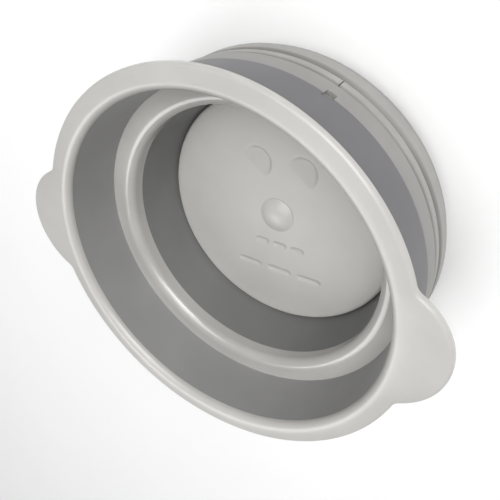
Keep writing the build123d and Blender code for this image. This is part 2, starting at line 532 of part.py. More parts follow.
# ---- Disc cap: snap dome over the disc's screw -----------------------------------------------------
with BuildPart() as disc_cap:
    with BuildSketch(Plane.XZ):
        with BuildLine():
            under, edge = CAP_TOP - CAP_SKIN, DISC_CROWN + CAP_SIDE
            Line((0, CAP_TOP), (0, under))
            inner_middle = (CAP_IN_R / 2, dome_height(CAP_IN_R / 2, CAP_IN_R, under, DISC_CROWN))
            ThreePointArc((0, under), inner_middle, (CAP_IN_R, DISC_CROWN))
            Polyline((CAP_IN_R, DISC_CROWN), (CAP_R, DISC_CROWN), (CAP_R, edge))
            outer_middle = (CAP_R / 2, dome_height(CAP_R / 2, CAP_R, CAP_TOP, edge))
            ThreePointArc((CAP_R, edge), outer_middle, (0, CAP_TOP))
        make_face()
    revolve(axis=Axis.Z)
disc_cap.part.label = "disc_cap"

# ---- Disc screw ---------------------------------------------------------------------------------
with BuildPart() as disc_screw:
    with BuildSketch(Plane.XY.offset(DISC_CROWN)):
        Circle(SHAFT_SCREW_HEAD_R)
    extrude(amount=1.2)
    with BuildSketch(Plane.XY.offset(SHAFT_SCREW_FOOT)):
        Circle(THREAD_R)
    extrude(amount=DISC_CROWN - SHAFT_SCREW_FOOT)
    with BuildSketch(Plane.XY.offset(DISC_CROWN + 0.5)):
        Rectangle(SLOT_LENGTH, SLOT_WIDTH)
        Rectangle(SLOT_WIDTH, SLOT_LENGTH)
    extrude(amount=SLOT_DEPTH, mode=Mode.SUBTRACT)
disc_screw.part.label = "disc_screw"

# ---- Drive shaft ----------------------------------------------------------------------------------
with BuildPart() as drive_shaft:
    with BuildSketch(Plane.XY.offset(SHAFT_FOOT)):
        Circle(SHAFT_R)
    extrude(amount=SHAFT_TOP - SHAFT_FOOT)
    with BuildSketch(Plane.XY.offset(DISC_HUB_FOOT - 0.1)):
        with Locations((SHAFT_R, 0)):
            Rectangle(2 * FLAT_DEPTH, 2 * SHAFT_R)
    extrude(amount=SHAFT_TOP - DISC_HUB_FOOT + 1.0, mode=Mode.SUBTRACT)
    with BuildSketch(Plane.XY.offset(SHAFT_SCREW_FOOT - 0.5)):
        Circle(THREAD_R)
    extrude(amount=SHAFT_TOP - SHAFT_SCREW_FOOT + 1.0, mode=Mode.SUBTRACT)
drive_shaft.part.label = "drive_shaft"

# ---- Shaft seal, in the mouth of the tub's boss -----------------------------------------------------
with BuildPart() as shaft_seal:
    with BuildSketch(Plane.XZ):
        with BuildLine():
            FilletPolyline(
                (SHAFT_R + RUN_GAP, SEAL_FOOT),
                (BOSS_BORE_R, SEAL_FOOT),
                (BOSS_BORE_R, SEAL_TOP),
                (BOSS_BORE_R - 1.4, SEAL_TOP),
                (SEAL_LIP_R, SEAL_TOP - 1.1),
                (SHAFT_R + RUN_GAP, SEAL_TOP - 0.5),
                radius=[0, 0, 0.4, 0.3, 0.3, 0],
                close=True,
            )
        make_face()
    revolve(axis=Axis.Z)
shaft_seal.part.label = "shaft_seal"

# ---- Bearings ---------------------------------------------------------------------------------------
with BuildPart() as upper_bearing:
    with BuildSketch(Plane.XY.offset(TUB_BOSS_FOOT + BOSS_STOP)):
        Circle(BOSS_BORE_R)
        Circle(SHAFT_R + RUN_GAP, mode=Mode.SUBTRACT)
    extrude(amount=UPPER_BEARING_HEIGHT)
    # the shield sits a little below the two races
    with BuildSketch(Plane.XY.offset(TUB_BOSS_FOOT + BOSS_STOP + UPPER_BEARING_HEIGHT)):
        Circle(BOSS_BORE_R - 1.0)
        Circle(SHAFT_R + 1.2, mode=Mode.SUBTRACT)
    extrude(amount=-SHIELD_DEPTH, mode=Mode.SUBTRACT)
upper_bearing.part.label = "upper_bearing"

with BuildPart() as lower_bearing:
    with BuildSketch(Plane.XY.offset(COVER_FLOOR)):
        Circle(LOWER_BEARING_R)
        Circle(SHAFT_R + RUN_GAP, mode=Mode.SUBTRACT)
    extrude(amount=LOWER_BEARING_HEIGHT)
    with BuildSketch(Plane.XY.offset(COVER_FLOOR + LOWER_BEARING_HEIGHT)):
        Circle(LOWER_BEARING_R - 0.5)
        Circle(SHAFT_R + 0.6, mode=Mode.SUBTRACT)
    extrude(amount=-SHIELD_DEPTH, mode=Mode.SUBTRACT)
lower_bearing.part.label = "lower_bearing"

# ---- Driven pulley: flanged rim, web with lightening holes, hub -----------------------------------
with BuildPart() as driven_pulley:
    with BuildSketch(Plane.XZ):
        with BuildLine():
            Polyline(
                (SHAFT_R, PULLEY_FOOT),
                (PULLEY_HUB_R, PULLEY_FOOT),
                (PULLEY_HUB_R, PULLEY_FOOT + WEB_FOOT),
                (PULLEY_R - PULLEY_RIM, PULLEY_FOOT + WEB_FOOT),
                (PULLEY_R - PULLEY_RIM, PULLEY_FOOT),
                (PULLEY_R + PULLEY_LIP, PULLEY_FOOT),
                (PULLEY_R + PULLEY_LIP, PULLEY_FOOT + FLANGE),
                (PULLEY_R, PULLEY_FOOT + FLANGE),
                (PULLEY_R, PULLEY_TOP - FLANGE),
                (PULLEY_R + PULLEY_LIP, PULLEY_TOP - FLANGE),
                (PULLEY_R + PULLEY_LIP, PULLEY_TOP),
                (PULLEY_R - PULLEY_RIM, PULLEY_TOP),
                (PULLEY_R - PULLEY_RIM, PULLEY_FOOT + WEB_TOP),
                (PULLEY_HUB_R, PULLEY_FOOT + WEB_TOP),
                (PULLEY_HUB_R, PULLEY_TOP),
                (SHAFT_R, PULLEY_TOP),
                close=True,
            )
        make_face()
    revolve(axis=Axis.Z)
    with BuildSketch(Plane.XY.offset(PULLEY_FOOT)):
        with PolarLocations(WEB_HOLE_CIRCLE_R, WEB_HOLES):
            Circle(WEB_HOLE_R)
    extrude(amount=PULLEY_TOP - PULLEY_FOOT, mode=Mode.SUBTRACT)
driven_pulley.part.label = "driven_pulley"

# ---- Motor pulley ------------------------------------------------------------------------------------
with BuildPart() as motor_pulley:
    with BuildSketch(Plane.XY.offset(PULLEY_FOOT)):
        with Locations((motor_x, motor_y)):
            Circle(MOTOR_PULLEY_R + PULLEY_LIP)
    extrude(amount=FLANGE)
    with BuildSketch(Plane.XY.offset(PULLEY_FOOT)):
        with Locations((motor_x, motor_y)):
            Circle(MOTOR_PULLEY_R)
    extrude(amount=PULLEY_TOP - PULLEY_FOOT)
    with BuildSketch(Plane.XY.offset(PULLEY_TOP - FLANGE)):
        with Locations((motor_x, motor_y)):
            Circle(MOTOR_PULLEY_R + PULLEY_LIP)
    extrude(amount=FLANGE)
    with BuildSketch(Plane.XY.offset(PULLEY_FOOT)):
        with Locations((motor_x, motor_y)):
            Circle(SPINDLE_R)
    extrude(amount=PULLEY_TOP - PULLEY_FOOT, mode=Mode.SUBTRACT)
motor_pulley.part.label = "motor_pulley"

# ---- Drive belt: flat belt round both pulleys ---------------------------------------------------------
with BuildPart() as drive_belt:
    with BuildSketch(Plane.XY.offset(PULLEY_FOOT + FLANGE + FIT_GAP)):
        Circle(PULLEY_R + FIT_GAP + BELT_THICK)
        with Locations((motor_x, motor_y)):
            Circle(MOTOR_PULLEY_R + FIT_GAP + BELT_THICK)
        make_hull()
    extrude(amount=PULLEY_TOP - PULLEY_FOOT - 2 * FLANGE - 2 * FIT_GAP)
    with BuildSketch(Plane.XY.offset(PULLEY_FOOT + FLANGE + FIT_GAP)):
        Circle(PULLEY_R + FIT_GAP)
        with Locations((motor_x, motor_y)):
            Circle(MOTOR_PULLEY_R + FIT_GAP)
        make_hull()
    extrude(amount=PULLEY_TOP - PULLEY_FOOT, mode=Mode.SUBTRACT)
drive_belt.part.label = "drive_belt"

# ---- Motor: steel can with two flats, open at the top under its end cap -------------------------------
with BuildPart() as motor_can:
    with BuildSketch(Plane.XY.offset(MOTOR_FOOT)):
        with Locations(motor_axis):
            Circle(MOTOR_R)
            Rectangle(MOTOR_FLAT, 2 * MOTOR_R, mode=Mode.INTERSECT)
    extrude(amount=MOTOR_TOP - MOTOR_FOOT)
    with BuildSketch(Plane.XY.offset(MOTOR_FOOT + MOTOR_BASE)):
        with Locations((motor_x, motor_y)):
            Circle(MOTOR_BORE_R)
    extrude(amount=MOTOR_TOP - MOTOR_FOOT, mode=Mode.SUBTRACT)
    with BuildSketch(Plane.XY.offset(MOTOR_FOOT - MOTOR_NOSE)):
        with Locations((motor_x, motor_y)):
            Circle(MOTOR_NOSE_R)
    extrude(amount=MOTOR_NOSE)
    with BuildSketch(Plane.XY.offset(MOTOR_FOOT - MOTOR_NOSE)):
        with Locations((motor_x, motor_y)):
            Circle(SPINDLE_R + RUN_GAP)
    extrude(amount=MOTOR_NOSE + MOTOR_BASE, mode=Mode.SUBTRACT)
    with BuildSketch(Plane.XY.offset(MOTOR_FOOT)):
        with Locations(motor_axis):
            with Locations(*motor_screw_places):
                Circle(MOTOR_SCREW_R)
    extrude(amount=MOTOR_BASE, mode=Mode.SUBTRACT)
motor_can.part.label = "motor_can"

with BuildPart() as motor_end_cap:
    with BuildSketch(Plane.XY.offset(MOTOR_TOP)):
        with Locations(motor_axis):
            Circle(MOTOR_R)
            Rectangle(MOTOR_FLAT, 2 * MOTOR_R, mode=Mode.INTERSECT)
    extrude(amount=END_CAP_THICK)
    with BuildSketch(Plane.XY.offset(MOTOR_TOP + END_CAP_THICK)):
        with Locations((motor_x, motor_y)):
            Circle(MOTOR_NOSE_R + 0.2)
    extrude(amount=1.2)
    with BuildSketch(Plane.XY.offset(MOTOR_TOP)):
        with Locations((motor_x, motor_y)):
            Circle(SPINDLE_R + RUN_GAP)
    extrude(amount=END_CAP_THICK + 0.2, mode=Mode.SUBTRACT)
motor_end_cap.part.label = "motor_end_cap"

with BuildPart() as motor_rotor:
    with BuildSketch(Plane.XY.offset(ROTOR_FOOT)):
        with Locations((motor_x, motor_y)):
            Circle(ROTOR_R)
            with PolarLocations(ROTOR_R - 0.6, 3):
                Rectangle(2.8, ROTOR_SLOT, mode=Mode.SUBTRACT)
    extrude(amount=ROTOR_LENGTH)
    with BuildSketch(Plane.XY.offset(PULLEY_FOOT)):
        with Locations((motor_x, motor_y)):
            Circle(SPINDLE_R)
    extrude(amount=MOTOR_TOP + 2.0 - PULLEY_FOOT)
    with BuildSketch(Plane.XY.offset(ROTOR_FOOT + ROTOR_LENGTH)):
        with Locations((motor_x, motor_y)):
            Circle(COMMUTATOR_R)
    extrude(amount=COMMUTATOR)
motor_rotor.part.label = "motor_rotor"

with BuildPart() as motor_bracket:
    with BuildSketch(Plane.XY.offset(BRACKET_FOOT)):
        with Locations(motor_axis):
            RectangleRounded(BRACKET_WIDTH, BRACKET_LENGTH, 3.0)
            Circle(MOTOR_NOSE_R + 0.1, mode=Mode.SUBTRACT)
            with Locations(*bracket_screw_places):
                Circle(CLEAR_R - 0.2, mode=Mode.SUBTRACT)
            with Locations(*motor_screw_places):
                Circle(MOTOR_SCREW_R + 0.2, mode=Mode.SUBTRACT)
    extrude(amount=BRACKET_TOP - BRACKET_FOOT)
motor_bracket.part.label = "motor_bracket"

# ---- Screws, as groups of separate solids -----------------------------------------------------------
with BuildPart() as motor_screws:
    with BuildSketch(Plane.XY.offset(BRACKET_FOOT - 1.0)):
        with Locations(motor_axis):
            with Locations(*motor_screw_places):
                Circle(MOTOR_SCREW_HEAD_R)
    extrude(amount=1.0)
    with BuildSketch(Plane.XY.offset(BRACKET_FOOT)):
        with Locations(motor_axis):
            with Locations(*motor_screw_places):
                Circle(MOTOR_SCREW_R)
    extrude(amount=4.0)
motor_screws.part.label = "motor_screws"

with BuildPart() as bracket_screws:
    with BuildSketch(Plane.XY.offset(BRACKET_TOP)):
        with Locations(motor_axis):
            with Locations(*bracket_screw_places):
                Circle(HEAD_R - 0.2)
    extrude(amount=1.6)
    with BuildSketch(Plane.XY.offset(BRACKET_SCREW_FOOT)):
        with Locations(motor_axis):
            with Locations(*bracket_screw_places):
                Circle(THREAD_R - 0.1)
    extrude(amount=BRACKET_TOP - BRACKET_SCREW_FOOT)
bracket_screws.part.label = "bracket_screws"

with BuildPart() as cover_screws:
    with BuildSketch(Plane.XY.offset(COVER_HEAD_SEAT - HEAD_THICK)):
        with PolarLocations(COVER_SCREW_R, COVER_SCREWS, COVER_SCREW_FIRST):
            Circle(HEAD_R)
    extrude(amount=HEAD_THICK)
    with BuildSketch(Plane.XY.offset(COVER_HEAD_SEAT)):
        with PolarLocations(COVER_SCREW_R, COVER_SCREWS, COVER_SCREW_FIRST):
            Circle(THREAD_R)
    extrude(amount=COVER_SCREW_LENGTH)
    with BuildSketch(Plane.XY.offset(COVER_HEAD_SEAT - HEAD_THICK)):
        with PolarLocations(COVER_SCREW_R, COVER_SCREWS, COVER_SCREW_FIRST):
            Rectangle(SLOT_LENGTH, SLOT_WIDTH)
            Rectangle(SLOT_WIDTH, SLOT_LENGTH)
    extrude(amount=SLOT_DEPTH, mode=Mode.SUBTRACT)
cover_screws.part.label = "cover_screws"

with BuildPart() as deck_screws:
    with BuildSketch(Plane.XY.offset(DECK_FOOT - HEAD_THICK)):
        with PolarLocations(DECK_SCREW_R, DECK_SCREWS):
            Circle(HEAD_R)
    extrude(amount=HEAD_THICK)
    with BuildSketch(Plane.XY.offset(DECK_FOOT)):
        with PolarLocations(DECK_SCREW_R, DECK_SCREWS):
            Circle(THREAD_R)
    extrude(amount=DECK_SCREW_LENGTH)
    with BuildSketch(Plane.XY.offset(DECK_FOOT - HEAD_THICK)):
        with PolarLocations(DECK_SCREW_R, DECK_SCREWS):
            Rectangle(SLOT_LENGTH, SLOT_WIDTH)
            Rectangle(SLOT_WIDTH, SLOT_LENGTH)
    extrude(amount=SLOT_DEPTH, mode=Mode.SUBTRACT)
deck_screws.part.label = "deck_screws"

# ---- Control panel: curved plate with a return wall, in the housing's window -------------------------
with BuildPart() as control_panel:
    with BuildSketch(Plane.XY.offset(PANEL_FOOT + PANEL_GAP)):
        Circle(PANEL_R)
        Circle(PANEL_BACK_R, mode=Mode.SUBTRACT)
        with Locations((0, -PANEL_R)):
            Rectangle(2 * (PANEL_HALF - PANEL_GAP), PANEL_R, mode=Mode.INTERSECT)
    extrude(amount=PANEL_TOP - PANEL_FOOT - 2 * PANEL_GAP)
    with BuildSketch(Plane.XY.offset(PANEL_FOOT + PANEL_EDGE)):
        Circle(PANEL_R - WALL)
        with Locations((0, -PANEL_R)):
            Rectangle(2 * (PANEL_HALF - PANEL_EDGE), PANEL_R, mode=Mode.INTERSECT)
    extrude(amount=PANEL_TOP - PANEL_FOOT - 2 * PANEL_EDGE, mode=Mode.SUBTRACT)
    with BuildSketch(Plane.XZ.offset(STEM_BACK)):
        with Locations((BUTTON_X, BUTTON_Z), (-BUTTON_X, BUTTON_Z)):
            Circle(BUTTON_R + FIT_GAP)
        with Locations((0, LENS_Z)):
            Circle(LENS_R)
    extrude(amount=BUTTON_FRONT - STEM_BACK, mode=Mode.SUBTRACT)
    panel_front = control_panel.faces().filter_by(GeomType.CYLINDER).sort_by(SortBy.AREA)[-1]
    fillet(panel_front.outer_wire().edges(), PANEL_EDGE_ROUND)
control_panel.part.label = "control_panel"

buttons = {}
for button_name, button_x in (("power_button", -BUTTON_X), ("mode_button", BUTTON_X)):
    with BuildPart() as button:
        with BuildSketch(Plane.XZ.offset(BUTTON_BACK)):
            with Locations((button_x, BUTTON_Z)):
                Circle(BUTTON_R + 1.0)
        extrude(amount=BUTTON_FLANGE)
        with BuildSketch(Plane.XZ.offset(BUTTON_BACK + BUTTON_FLANGE)):
            with Locations((button_x, BUTTON_Z)):
                Circle(BUTTON_R)
        extrude(amount=BUTTON_FRONT - BUTTON_BACK - BUTTON_FLANGE)
        fillet(button.edges().sort_by(Axis.Y)[0], PANEL_EDGE_ROUND)
        with BuildSketch(Plane.XZ.offset(STEM_BACK)):
            with Locations((button_x, BUTTON_Z)):
                Circle(STEM_R)
        extrude(amount=BUTTON_BACK - STEM_BACK)
    button.part.label = button_name
    buttons[button_name] = button.part

switches = {}
for switch_name, switch_x in (("power_switch", -BUTTON_X), ("mode_switch", BUTTON_X)):
    with BuildPart() as switch:
        with BuildSketch(Plane.XZ.offset(-BOARD_Y)):
            with Locations((switch_x, BUTTON_Z)):
                RectangleRounded(SWITCH_SIZE, SWITCH_SIZE, 0.5)
        extrude(amount=SWITCH_BODY)
        with BuildSketch(Plane.XZ.offset(-BOARD_Y + SWITCH_BODY)):
            with Locations((switch_x, BUTTON_Z)):
                Circle(ACTUATOR_R)
        extrude(amount=ACTUATOR)
    switch.part.label = switch_name
    switches[switch_name] = switch.part

with BuildPart() as power_light:
    with BuildSketch(Plane.XZ.offset(LENS_BACK)):
        with Locations((0, LENS_Z)):
            Circle(LENS_R)
    extrude(amount=LENS_LENGTH)
    fillet(power_light.edges().sort_by(Axis.Y)[0], 0.6)
power_light.part.label = "power_light"

with BuildPart() as control_board:
    with BuildSketch(Plane.XZ.offset(-BOARD_Y - BOARD_THICK)):
        with Locations((0, (BOARD_FOOT + BOARD_TOP) / 2)):
            Rectangle(2 * BOARD_HALF, BOARD_TOP - BOARD_FOOT)
    extrude(amount=BOARD_THICK)
    # driver chip and capacitor on the inner side
    with BuildSketch(Plane.XZ.offset(-BOARD_Y - BOARD_THICK)):
        with Locations(CHIP_PLACE):
            Rectangle(*CHIP_SIZE)
    extrude(amount=-CHIP_THICK)
    with BuildSketch(Plane.XZ.offset(-BOARD_Y - BOARD_THICK)):
        with Locations(CAPACITOR_PLACE):
            Circle(CAPACITOR_R)
    extrude(amount=-CAPACITOR_LENGTH)
control_board.part.label = "control_board"

# ---- Power inlet: barrel socket, its nut, and a hinged dust cap ---------------------------------------
with BuildPart() as dc_jack:
    with BuildSketch(jack_plane.offset(JACK_BACK)):
        Circle(JACK_R)
    extrude(amount=JACK_FACE - JACK_BACK)
    with BuildSketch(jack_plane.offset(JACK_FACE)):
        Circle(JACK_COLLAR_R)
    extrude(amount=JACK_COLLAR)
    with BuildSketch(jack_plane.offset(JACK_FACE + JACK_COLLAR)):
        Circle(SOCKET_R)
        Circle(SOCKET_PIN_R, mode=Mode.SUBTRACT)
    extrude(amount=-SOCKET_DEPTH, mode=Mode.SUBTRACT)
    # the centre pin ends a little below the mouth
    with BuildSketch(jack_plane.offset(JACK_FACE - 0.4)):
        Circle(SOCKET_PIN_R + 0.2)
    extrude(amount=JACK_COLLAR + 0.9, mode=Mode.SUBTRACT)
dc_jack.part.label = "dc_jack"

with BuildPart() as jack_nut:
    with BuildSketch(jack_plane.offset(NUT_BACK)):
        RegularPolygon(NUT_R, 6)
        Circle(JACK_R, mode=Mode.SUBTRACT)
    extrude(amount=NUT_THICK)
jack_nut.part.label = "jack_nut"

with BuildPart() as inlet_cap:
    with BuildSketch(jack_plane.offset(JACK_FACE + CAP_DISC_BACK)):
        Circle(CAP_DISC_R)
        with Locations((0, CAP_HINGE_UP / 2)):
            Rectangle(8.0, CAP_HINGE_UP)
    extrude(amount=CAP_DISC_THICK)
    # stopper that stands in the socket's mouth
    with BuildSketch(jack_plane.offset(JACK_FACE + CAP_DISC_BACK)):
        Circle(SOCKET_R - 0.65)
    extrude(amount=-1.1)
    with BuildSketch(cap_hinge):
        Circle(KNUCKLE_R)
    extrude(amount=KNUCKLE_HALF, both=True)
    with BuildSketch(cap_hinge):
        Circle(CAP_PIN_R + RUN_GAP)
    extrude(amount=KNUCKLE_HALF + 1.0, both=True, mode=Mode.SUBTRACT)
    # nail ridge
    with BuildSketch(jack_plane.offset(JACK_FACE + CAP_DISC_BACK + CAP_DISC_THICK)):
        with Locations((0, 2.0 - CAP_DISC_R)):
            SlotOverall(7.0, 1.6)
    extrude(amount=0.8)
inlet_cap.part.label = "inlet_cap"

with BuildPart() as cap_pin:
    with BuildSketch(cap_hinge):
        Circle(CAP_PIN_R)
    extrude(amount=CAP_LUG_X + 1.2, both=True)
cap_pin.part.label = "cap_pin"

# ---- Drain: pipe under the tub's floor, its ring seal and a pull-out plug --------------------------------
with BuildPart() as drain_pipe:
    with BuildSketch(Plane.YZ.offset(DRAIN_PORT_X + DRAIN_BODY_R)):
        with Locations((0, DRAIN_Z)):
            Circle(DRAIN_BODY_R)
    extrude(amount=DRAIN_STEP_X - DRAIN_PORT_X - DRAIN_BODY_R)
    with BuildSketch(Plane.YZ.offset(DRAIN_STEP_X)):
        with Locations((0, DRAIN_Z)):
            Circle(DRAIN_SPOUT_R)
    extrude(amount=DRAIN_END_X - DRAIN_STEP_X)
    with BuildSketch(Plane.XY.offset(DRAIN_Z)):
        with Locations((DRAIN_PORT_X, 0)):
            Circle(DRAIN_BODY_R)
    extrude(amount=TUB_UNDER - DRAIN_Z)
    with BuildSketch(Plane.YZ.offset(DRAIN_PORT_X + DRAIN_BORE)):
        with Locations((0, DRAIN_Z)):
            Circle(DRAIN_BORE)
    extrude(amount=DRAIN_END_X - DRAIN_PORT_X - DRAIN_BORE, mode=Mode.SUBTRACT)
    with BuildSketch(Plane.XY.offset(DRAIN_Z)):
        with Locations((DRAIN_PORT_X, 0)):
            Circle(DRAIN_PORT_BORE)
    extrude(amount=TUB_UNDER - DRAIN_Z, mode=Mode.SUBTRACT)
drain_pipe.part.label = "drain_pipe"

with BuildPart() as drain_seal:
    with BuildSketch(Plane.YZ.offset(DRAIN_PAD_X)):
        with Locations((0, DRAIN_Z)):
            Circle(DRAIN_BODY_R + DRAIN_SEAL_WALL)
            Circle(DRAIN_BODY_R, mode=Mode.SUBTRACT)
    extrude(amount=-DRAIN_SEAL_THICK)
    fillet(drain_seal.edges().group_by(Axis.X)[0], 0.6)
drain_seal.part.label = "drain_seal"

with BuildPart() as drain_plug:
    with BuildSketch(Plane.YZ.offset(DRAIN_END_X + PLUG_DEPTH)):
        with Locations((0, DRAIN_Z)):
            Circle(DRAIN_BORE - FIT_GAP)
    extrude(amount=-PLUG_DEPTH - FIT_GAP)
    with BuildSketch(Plane.YZ.offset(DRAIN_END_X - FIT_GAP)):
        with Locations((0, DRAIN_Z)):
            Circle(DRAIN_SPOUT_R - 0.2)
    extrude(amount=-PLUG_FLANGE)
    with BuildSketch(Plane.XY.offset(DRAIN_Z - PLUG_GRIP_THICK / 2)):
        with Locations((DRAIN_END_X - 6.4, 0)):
            SlotOverall(PLUG_GRIP_LENGTH, PLUG_GRIP_WIDTH)
        with Locations((DRAIN_END_X - 8.0, 0)):
            Circle(PLUG_HOLE_R, mode=Mode.SUBTRACT)
    extrude(amount=PLUG_GRIP_THICK)
drain_plug.part.label = "drain_plug"

# ---- Rubber feet ------------------------------------------------------------------------------------
with BuildPart() as rubber_feet:
    with BuildSketch(Plane.XY):
        with PolarLocations(FOOT_CIRCLE_R, FEET, 180 / FEET):
            Circle(FOOT_R)
    extrude(amount=COVER_UNDER)
    fillet(rubber_feet.edges().group_by(Axis.Z)[0], 0.8)
rubber_feet.part.label = "rubber_feet"

# ---- Write one file per piece --------------------------------------------------------------------------
pieces = [
    rim_ring, folding_sleeve, shoulder_ring, collar_ring, inner_tub, base_housing, base_gasket,
    bottom_cover, wash_disc, disc_cap, disc_screw, drive_shaft, shaft_seal, upper_bearing,
    lower_bearing, driven_pulley, motor_pulley, drive_belt, motor_can, motor_end_cap, motor_rotor,
    motor_bracket, motor_screws, bracket_screws, cover_screws, deck_screws, control_panel,
    power_light, control_board, dc_jack, jack_nut, inlet_cap, cap_pin, drain_pipe, drain_seal,
    drain_plug, rubber_feet,
]
for piece in pieces:
    export_step(piece.part, f"parts/{piece.part.label}.step")
for small in (*buttons.values(), *switches.values()):
    export_step(small, f"parts/{small.label}.step")
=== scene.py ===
"""Portable mini washer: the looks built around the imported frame.

Profiles and sizes are in millimetres and become metres in finish_mesh. Azimuths are degrees from +X.
"""

import json
import math

import bmesh
import bpy
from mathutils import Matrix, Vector


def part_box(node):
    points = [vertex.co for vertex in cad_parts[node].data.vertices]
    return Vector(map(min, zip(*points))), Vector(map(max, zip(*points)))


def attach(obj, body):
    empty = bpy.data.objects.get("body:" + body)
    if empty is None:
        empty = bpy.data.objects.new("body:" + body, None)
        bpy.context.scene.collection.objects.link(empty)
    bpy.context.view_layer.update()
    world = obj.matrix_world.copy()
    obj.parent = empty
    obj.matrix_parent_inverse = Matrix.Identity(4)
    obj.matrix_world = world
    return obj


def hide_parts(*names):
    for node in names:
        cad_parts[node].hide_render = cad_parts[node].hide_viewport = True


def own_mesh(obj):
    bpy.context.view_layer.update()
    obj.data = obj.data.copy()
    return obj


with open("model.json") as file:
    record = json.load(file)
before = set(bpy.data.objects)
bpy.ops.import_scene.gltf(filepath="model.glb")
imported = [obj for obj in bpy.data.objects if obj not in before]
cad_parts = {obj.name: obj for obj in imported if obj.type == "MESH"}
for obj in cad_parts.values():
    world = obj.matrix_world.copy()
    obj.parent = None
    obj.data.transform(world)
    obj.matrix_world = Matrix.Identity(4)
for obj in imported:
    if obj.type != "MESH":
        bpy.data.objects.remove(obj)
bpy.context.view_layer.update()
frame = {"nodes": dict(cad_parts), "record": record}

# ---- Sizes shared by several pieces, in millimetres -------------------------------------------------
MM = 0.001


def box_mm(cad_node):
    """Lowest and highest corner of a CAD node, in millimetres."""
    low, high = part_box(cad_node)
    return low / MM, high / MM


rim_high = box_mm("rim_ring")[1]
sleeve_low, sleeve_high = box_mm("folding_sleeve")
collar_low, collar_high = box_mm("collar_ring")
disc_low, disc_high = box_mm("wash_disc")
cap_low, cap_high = box_mm("disc_cap")
tub_high = box_mm("inner_tub")[1]
shoulder_high = box_mm("shoulder_ring")[1]

RIM_R, RIM_TOP, EAR_TIP = rim_high.y, rim_high.z, rim_high.x
MOUTH_R = RIM_R - 16.0
RIM_UNDER = RIM_TOP - 5.5  # foot of the rim's turned-down edge
EAR_CENTRE, EAR_BLEND = 114.5, 9.0
EAR_R = EAR_TIP - EAR_CENTRE
SLEEVE_TOP_R, SLEEVE_FOOT, SLEEVE_WALL = sleeve_high.x, sleeve_low.z, 2.4
SHOULDER_TOP, SHOULDER_R = shoulder_high.z, 119.6
SHOULDER_EDGE = SHOULDER_TOP - 1.9  # height of its outer edge, under the sleeve's skin
NOTCH_AZIMUTH, NOTCH_WIDTH = 66.0, 7.0
HOUSING_GROOVES = ((32.6, 38.4), (44.6, 49.5))  # foot and top of each groove round the base
AROUND = 360  # segments round a turned piece
ON_AXIS = 1e-6  # a radius below this is on the axis
SLACK = 1e-6  # degrees allowed when comparing azimuths
SHARP = 38.0  # edges over this angle stay sharp


# ---- Materials --------------------------------------------------------------------------------------
def grey(value):
    return (value, value, value)


def scaled(colour, factor):
    return tuple(min(1.0, c * factor) for c in colour)


def new_material(name, colour, roughness, metallic=0.0):
    material = bpy.data.materials.new(name)
    material.use_nodes = True
    shader = material.node_tree.nodes["Principled BSDF"]
    shader.inputs["Base Color"].default_value = (*colour, 1.0)
    shader.inputs["Roughness"].default_value = roughness
    shader.inputs["Metallic"].default_value = metallic
    return material, material.node_tree, shader


def node(tree, kind, **inputs):
    """A shader node with the given input values."""
    made = tree.nodes.new(kind)
    for key, value in inputs.items():
        made.inputs[key.replace("_", " ")].default_value = value
    return made


def texture(tree, kind, vector, **inputs):
    """A texture node that is laid out along the given vector."""
    made = node(tree, kind, **inputs)
    tree.links.new(vector, made.inputs["Vector"])
    return made


def ramp(tree, source, stops):
    """A colour ramp with the given (position, colour) stops."""
    made = tree.nodes.new("ShaderNodeValToRGB")
    elements = made.color_ramp.elements
    while len(elements) < len(stops):
        elements.new(0.5)
    for element, (position, colour) in zip(elements, stops):
        element.position = position
        element.color = (*colour, 1.0)
    tree.links.new(source, made.inputs["Fac"])
    return made


def multiplied(tree, first, second):
    """The product of two colours."""
    made = tree.nodes.new("ShaderNodeMixRGB")
    made.blend_type = "MULTIPLY"
    made.inputs["Fac"].default_value = 1.0
    tree.links.new(first, made.inputs["Color1"])
    tree.links.new(second, made.inputs["Color2"])
    return made


def stretched(tree, vector, scale):
    """A vector scaled along its axes, which stretches a texture."""
    made = tree.nodes.new("ShaderNodeMapping")
    made.inputs["Scale"].default_value = scale
    tree.links.new(vector, made.inputs["Vector"])
    return made.outputs["Vector"]


def bumped(tree, height, strength, depth, under=None):
    """A bump of a depth in millimetres, on top of another one where that is given."""
    made = node(tree, "ShaderNodeBump", Strength=strength, Distance=depth * MM)
    tree.links.new(height, made.inputs["Height"])
    if under:
        tree.links.new(under.outputs["Normal"], made.inputs["Normal"])
    return made


def painted_groove_shade(tree, position, grooves, share_left=0.68, fade=0.8):
    """White, but darker between each pair of heights in millimetres: painted shade in the grooves."""
    split = tree.nodes.new("ShaderNodeSeparateXYZ")
    tree.links.new(position, split.inputs["Vector"])
    height = node(tree, "ShaderNodeMapRange", From_Max=RIM_TOP * MM)
    tree.links.new(split.outputs["Z"], height.inputs["Value"])
    outside = 0.3  # how far the fade reaches past the groove
    stops = []
    for low, high in grooves:
        stops += [
            (low - outside, grey(1.0)),
            (low - outside + fade, grey(share_left)),
            (high + outside - fade, grey(share_left)),
            (high + outside, grey(1.0)),
        ]
    return ramp(tree, height.outputs["Result"], [(z / RIM_TOP, colour) for z, colour in stops])


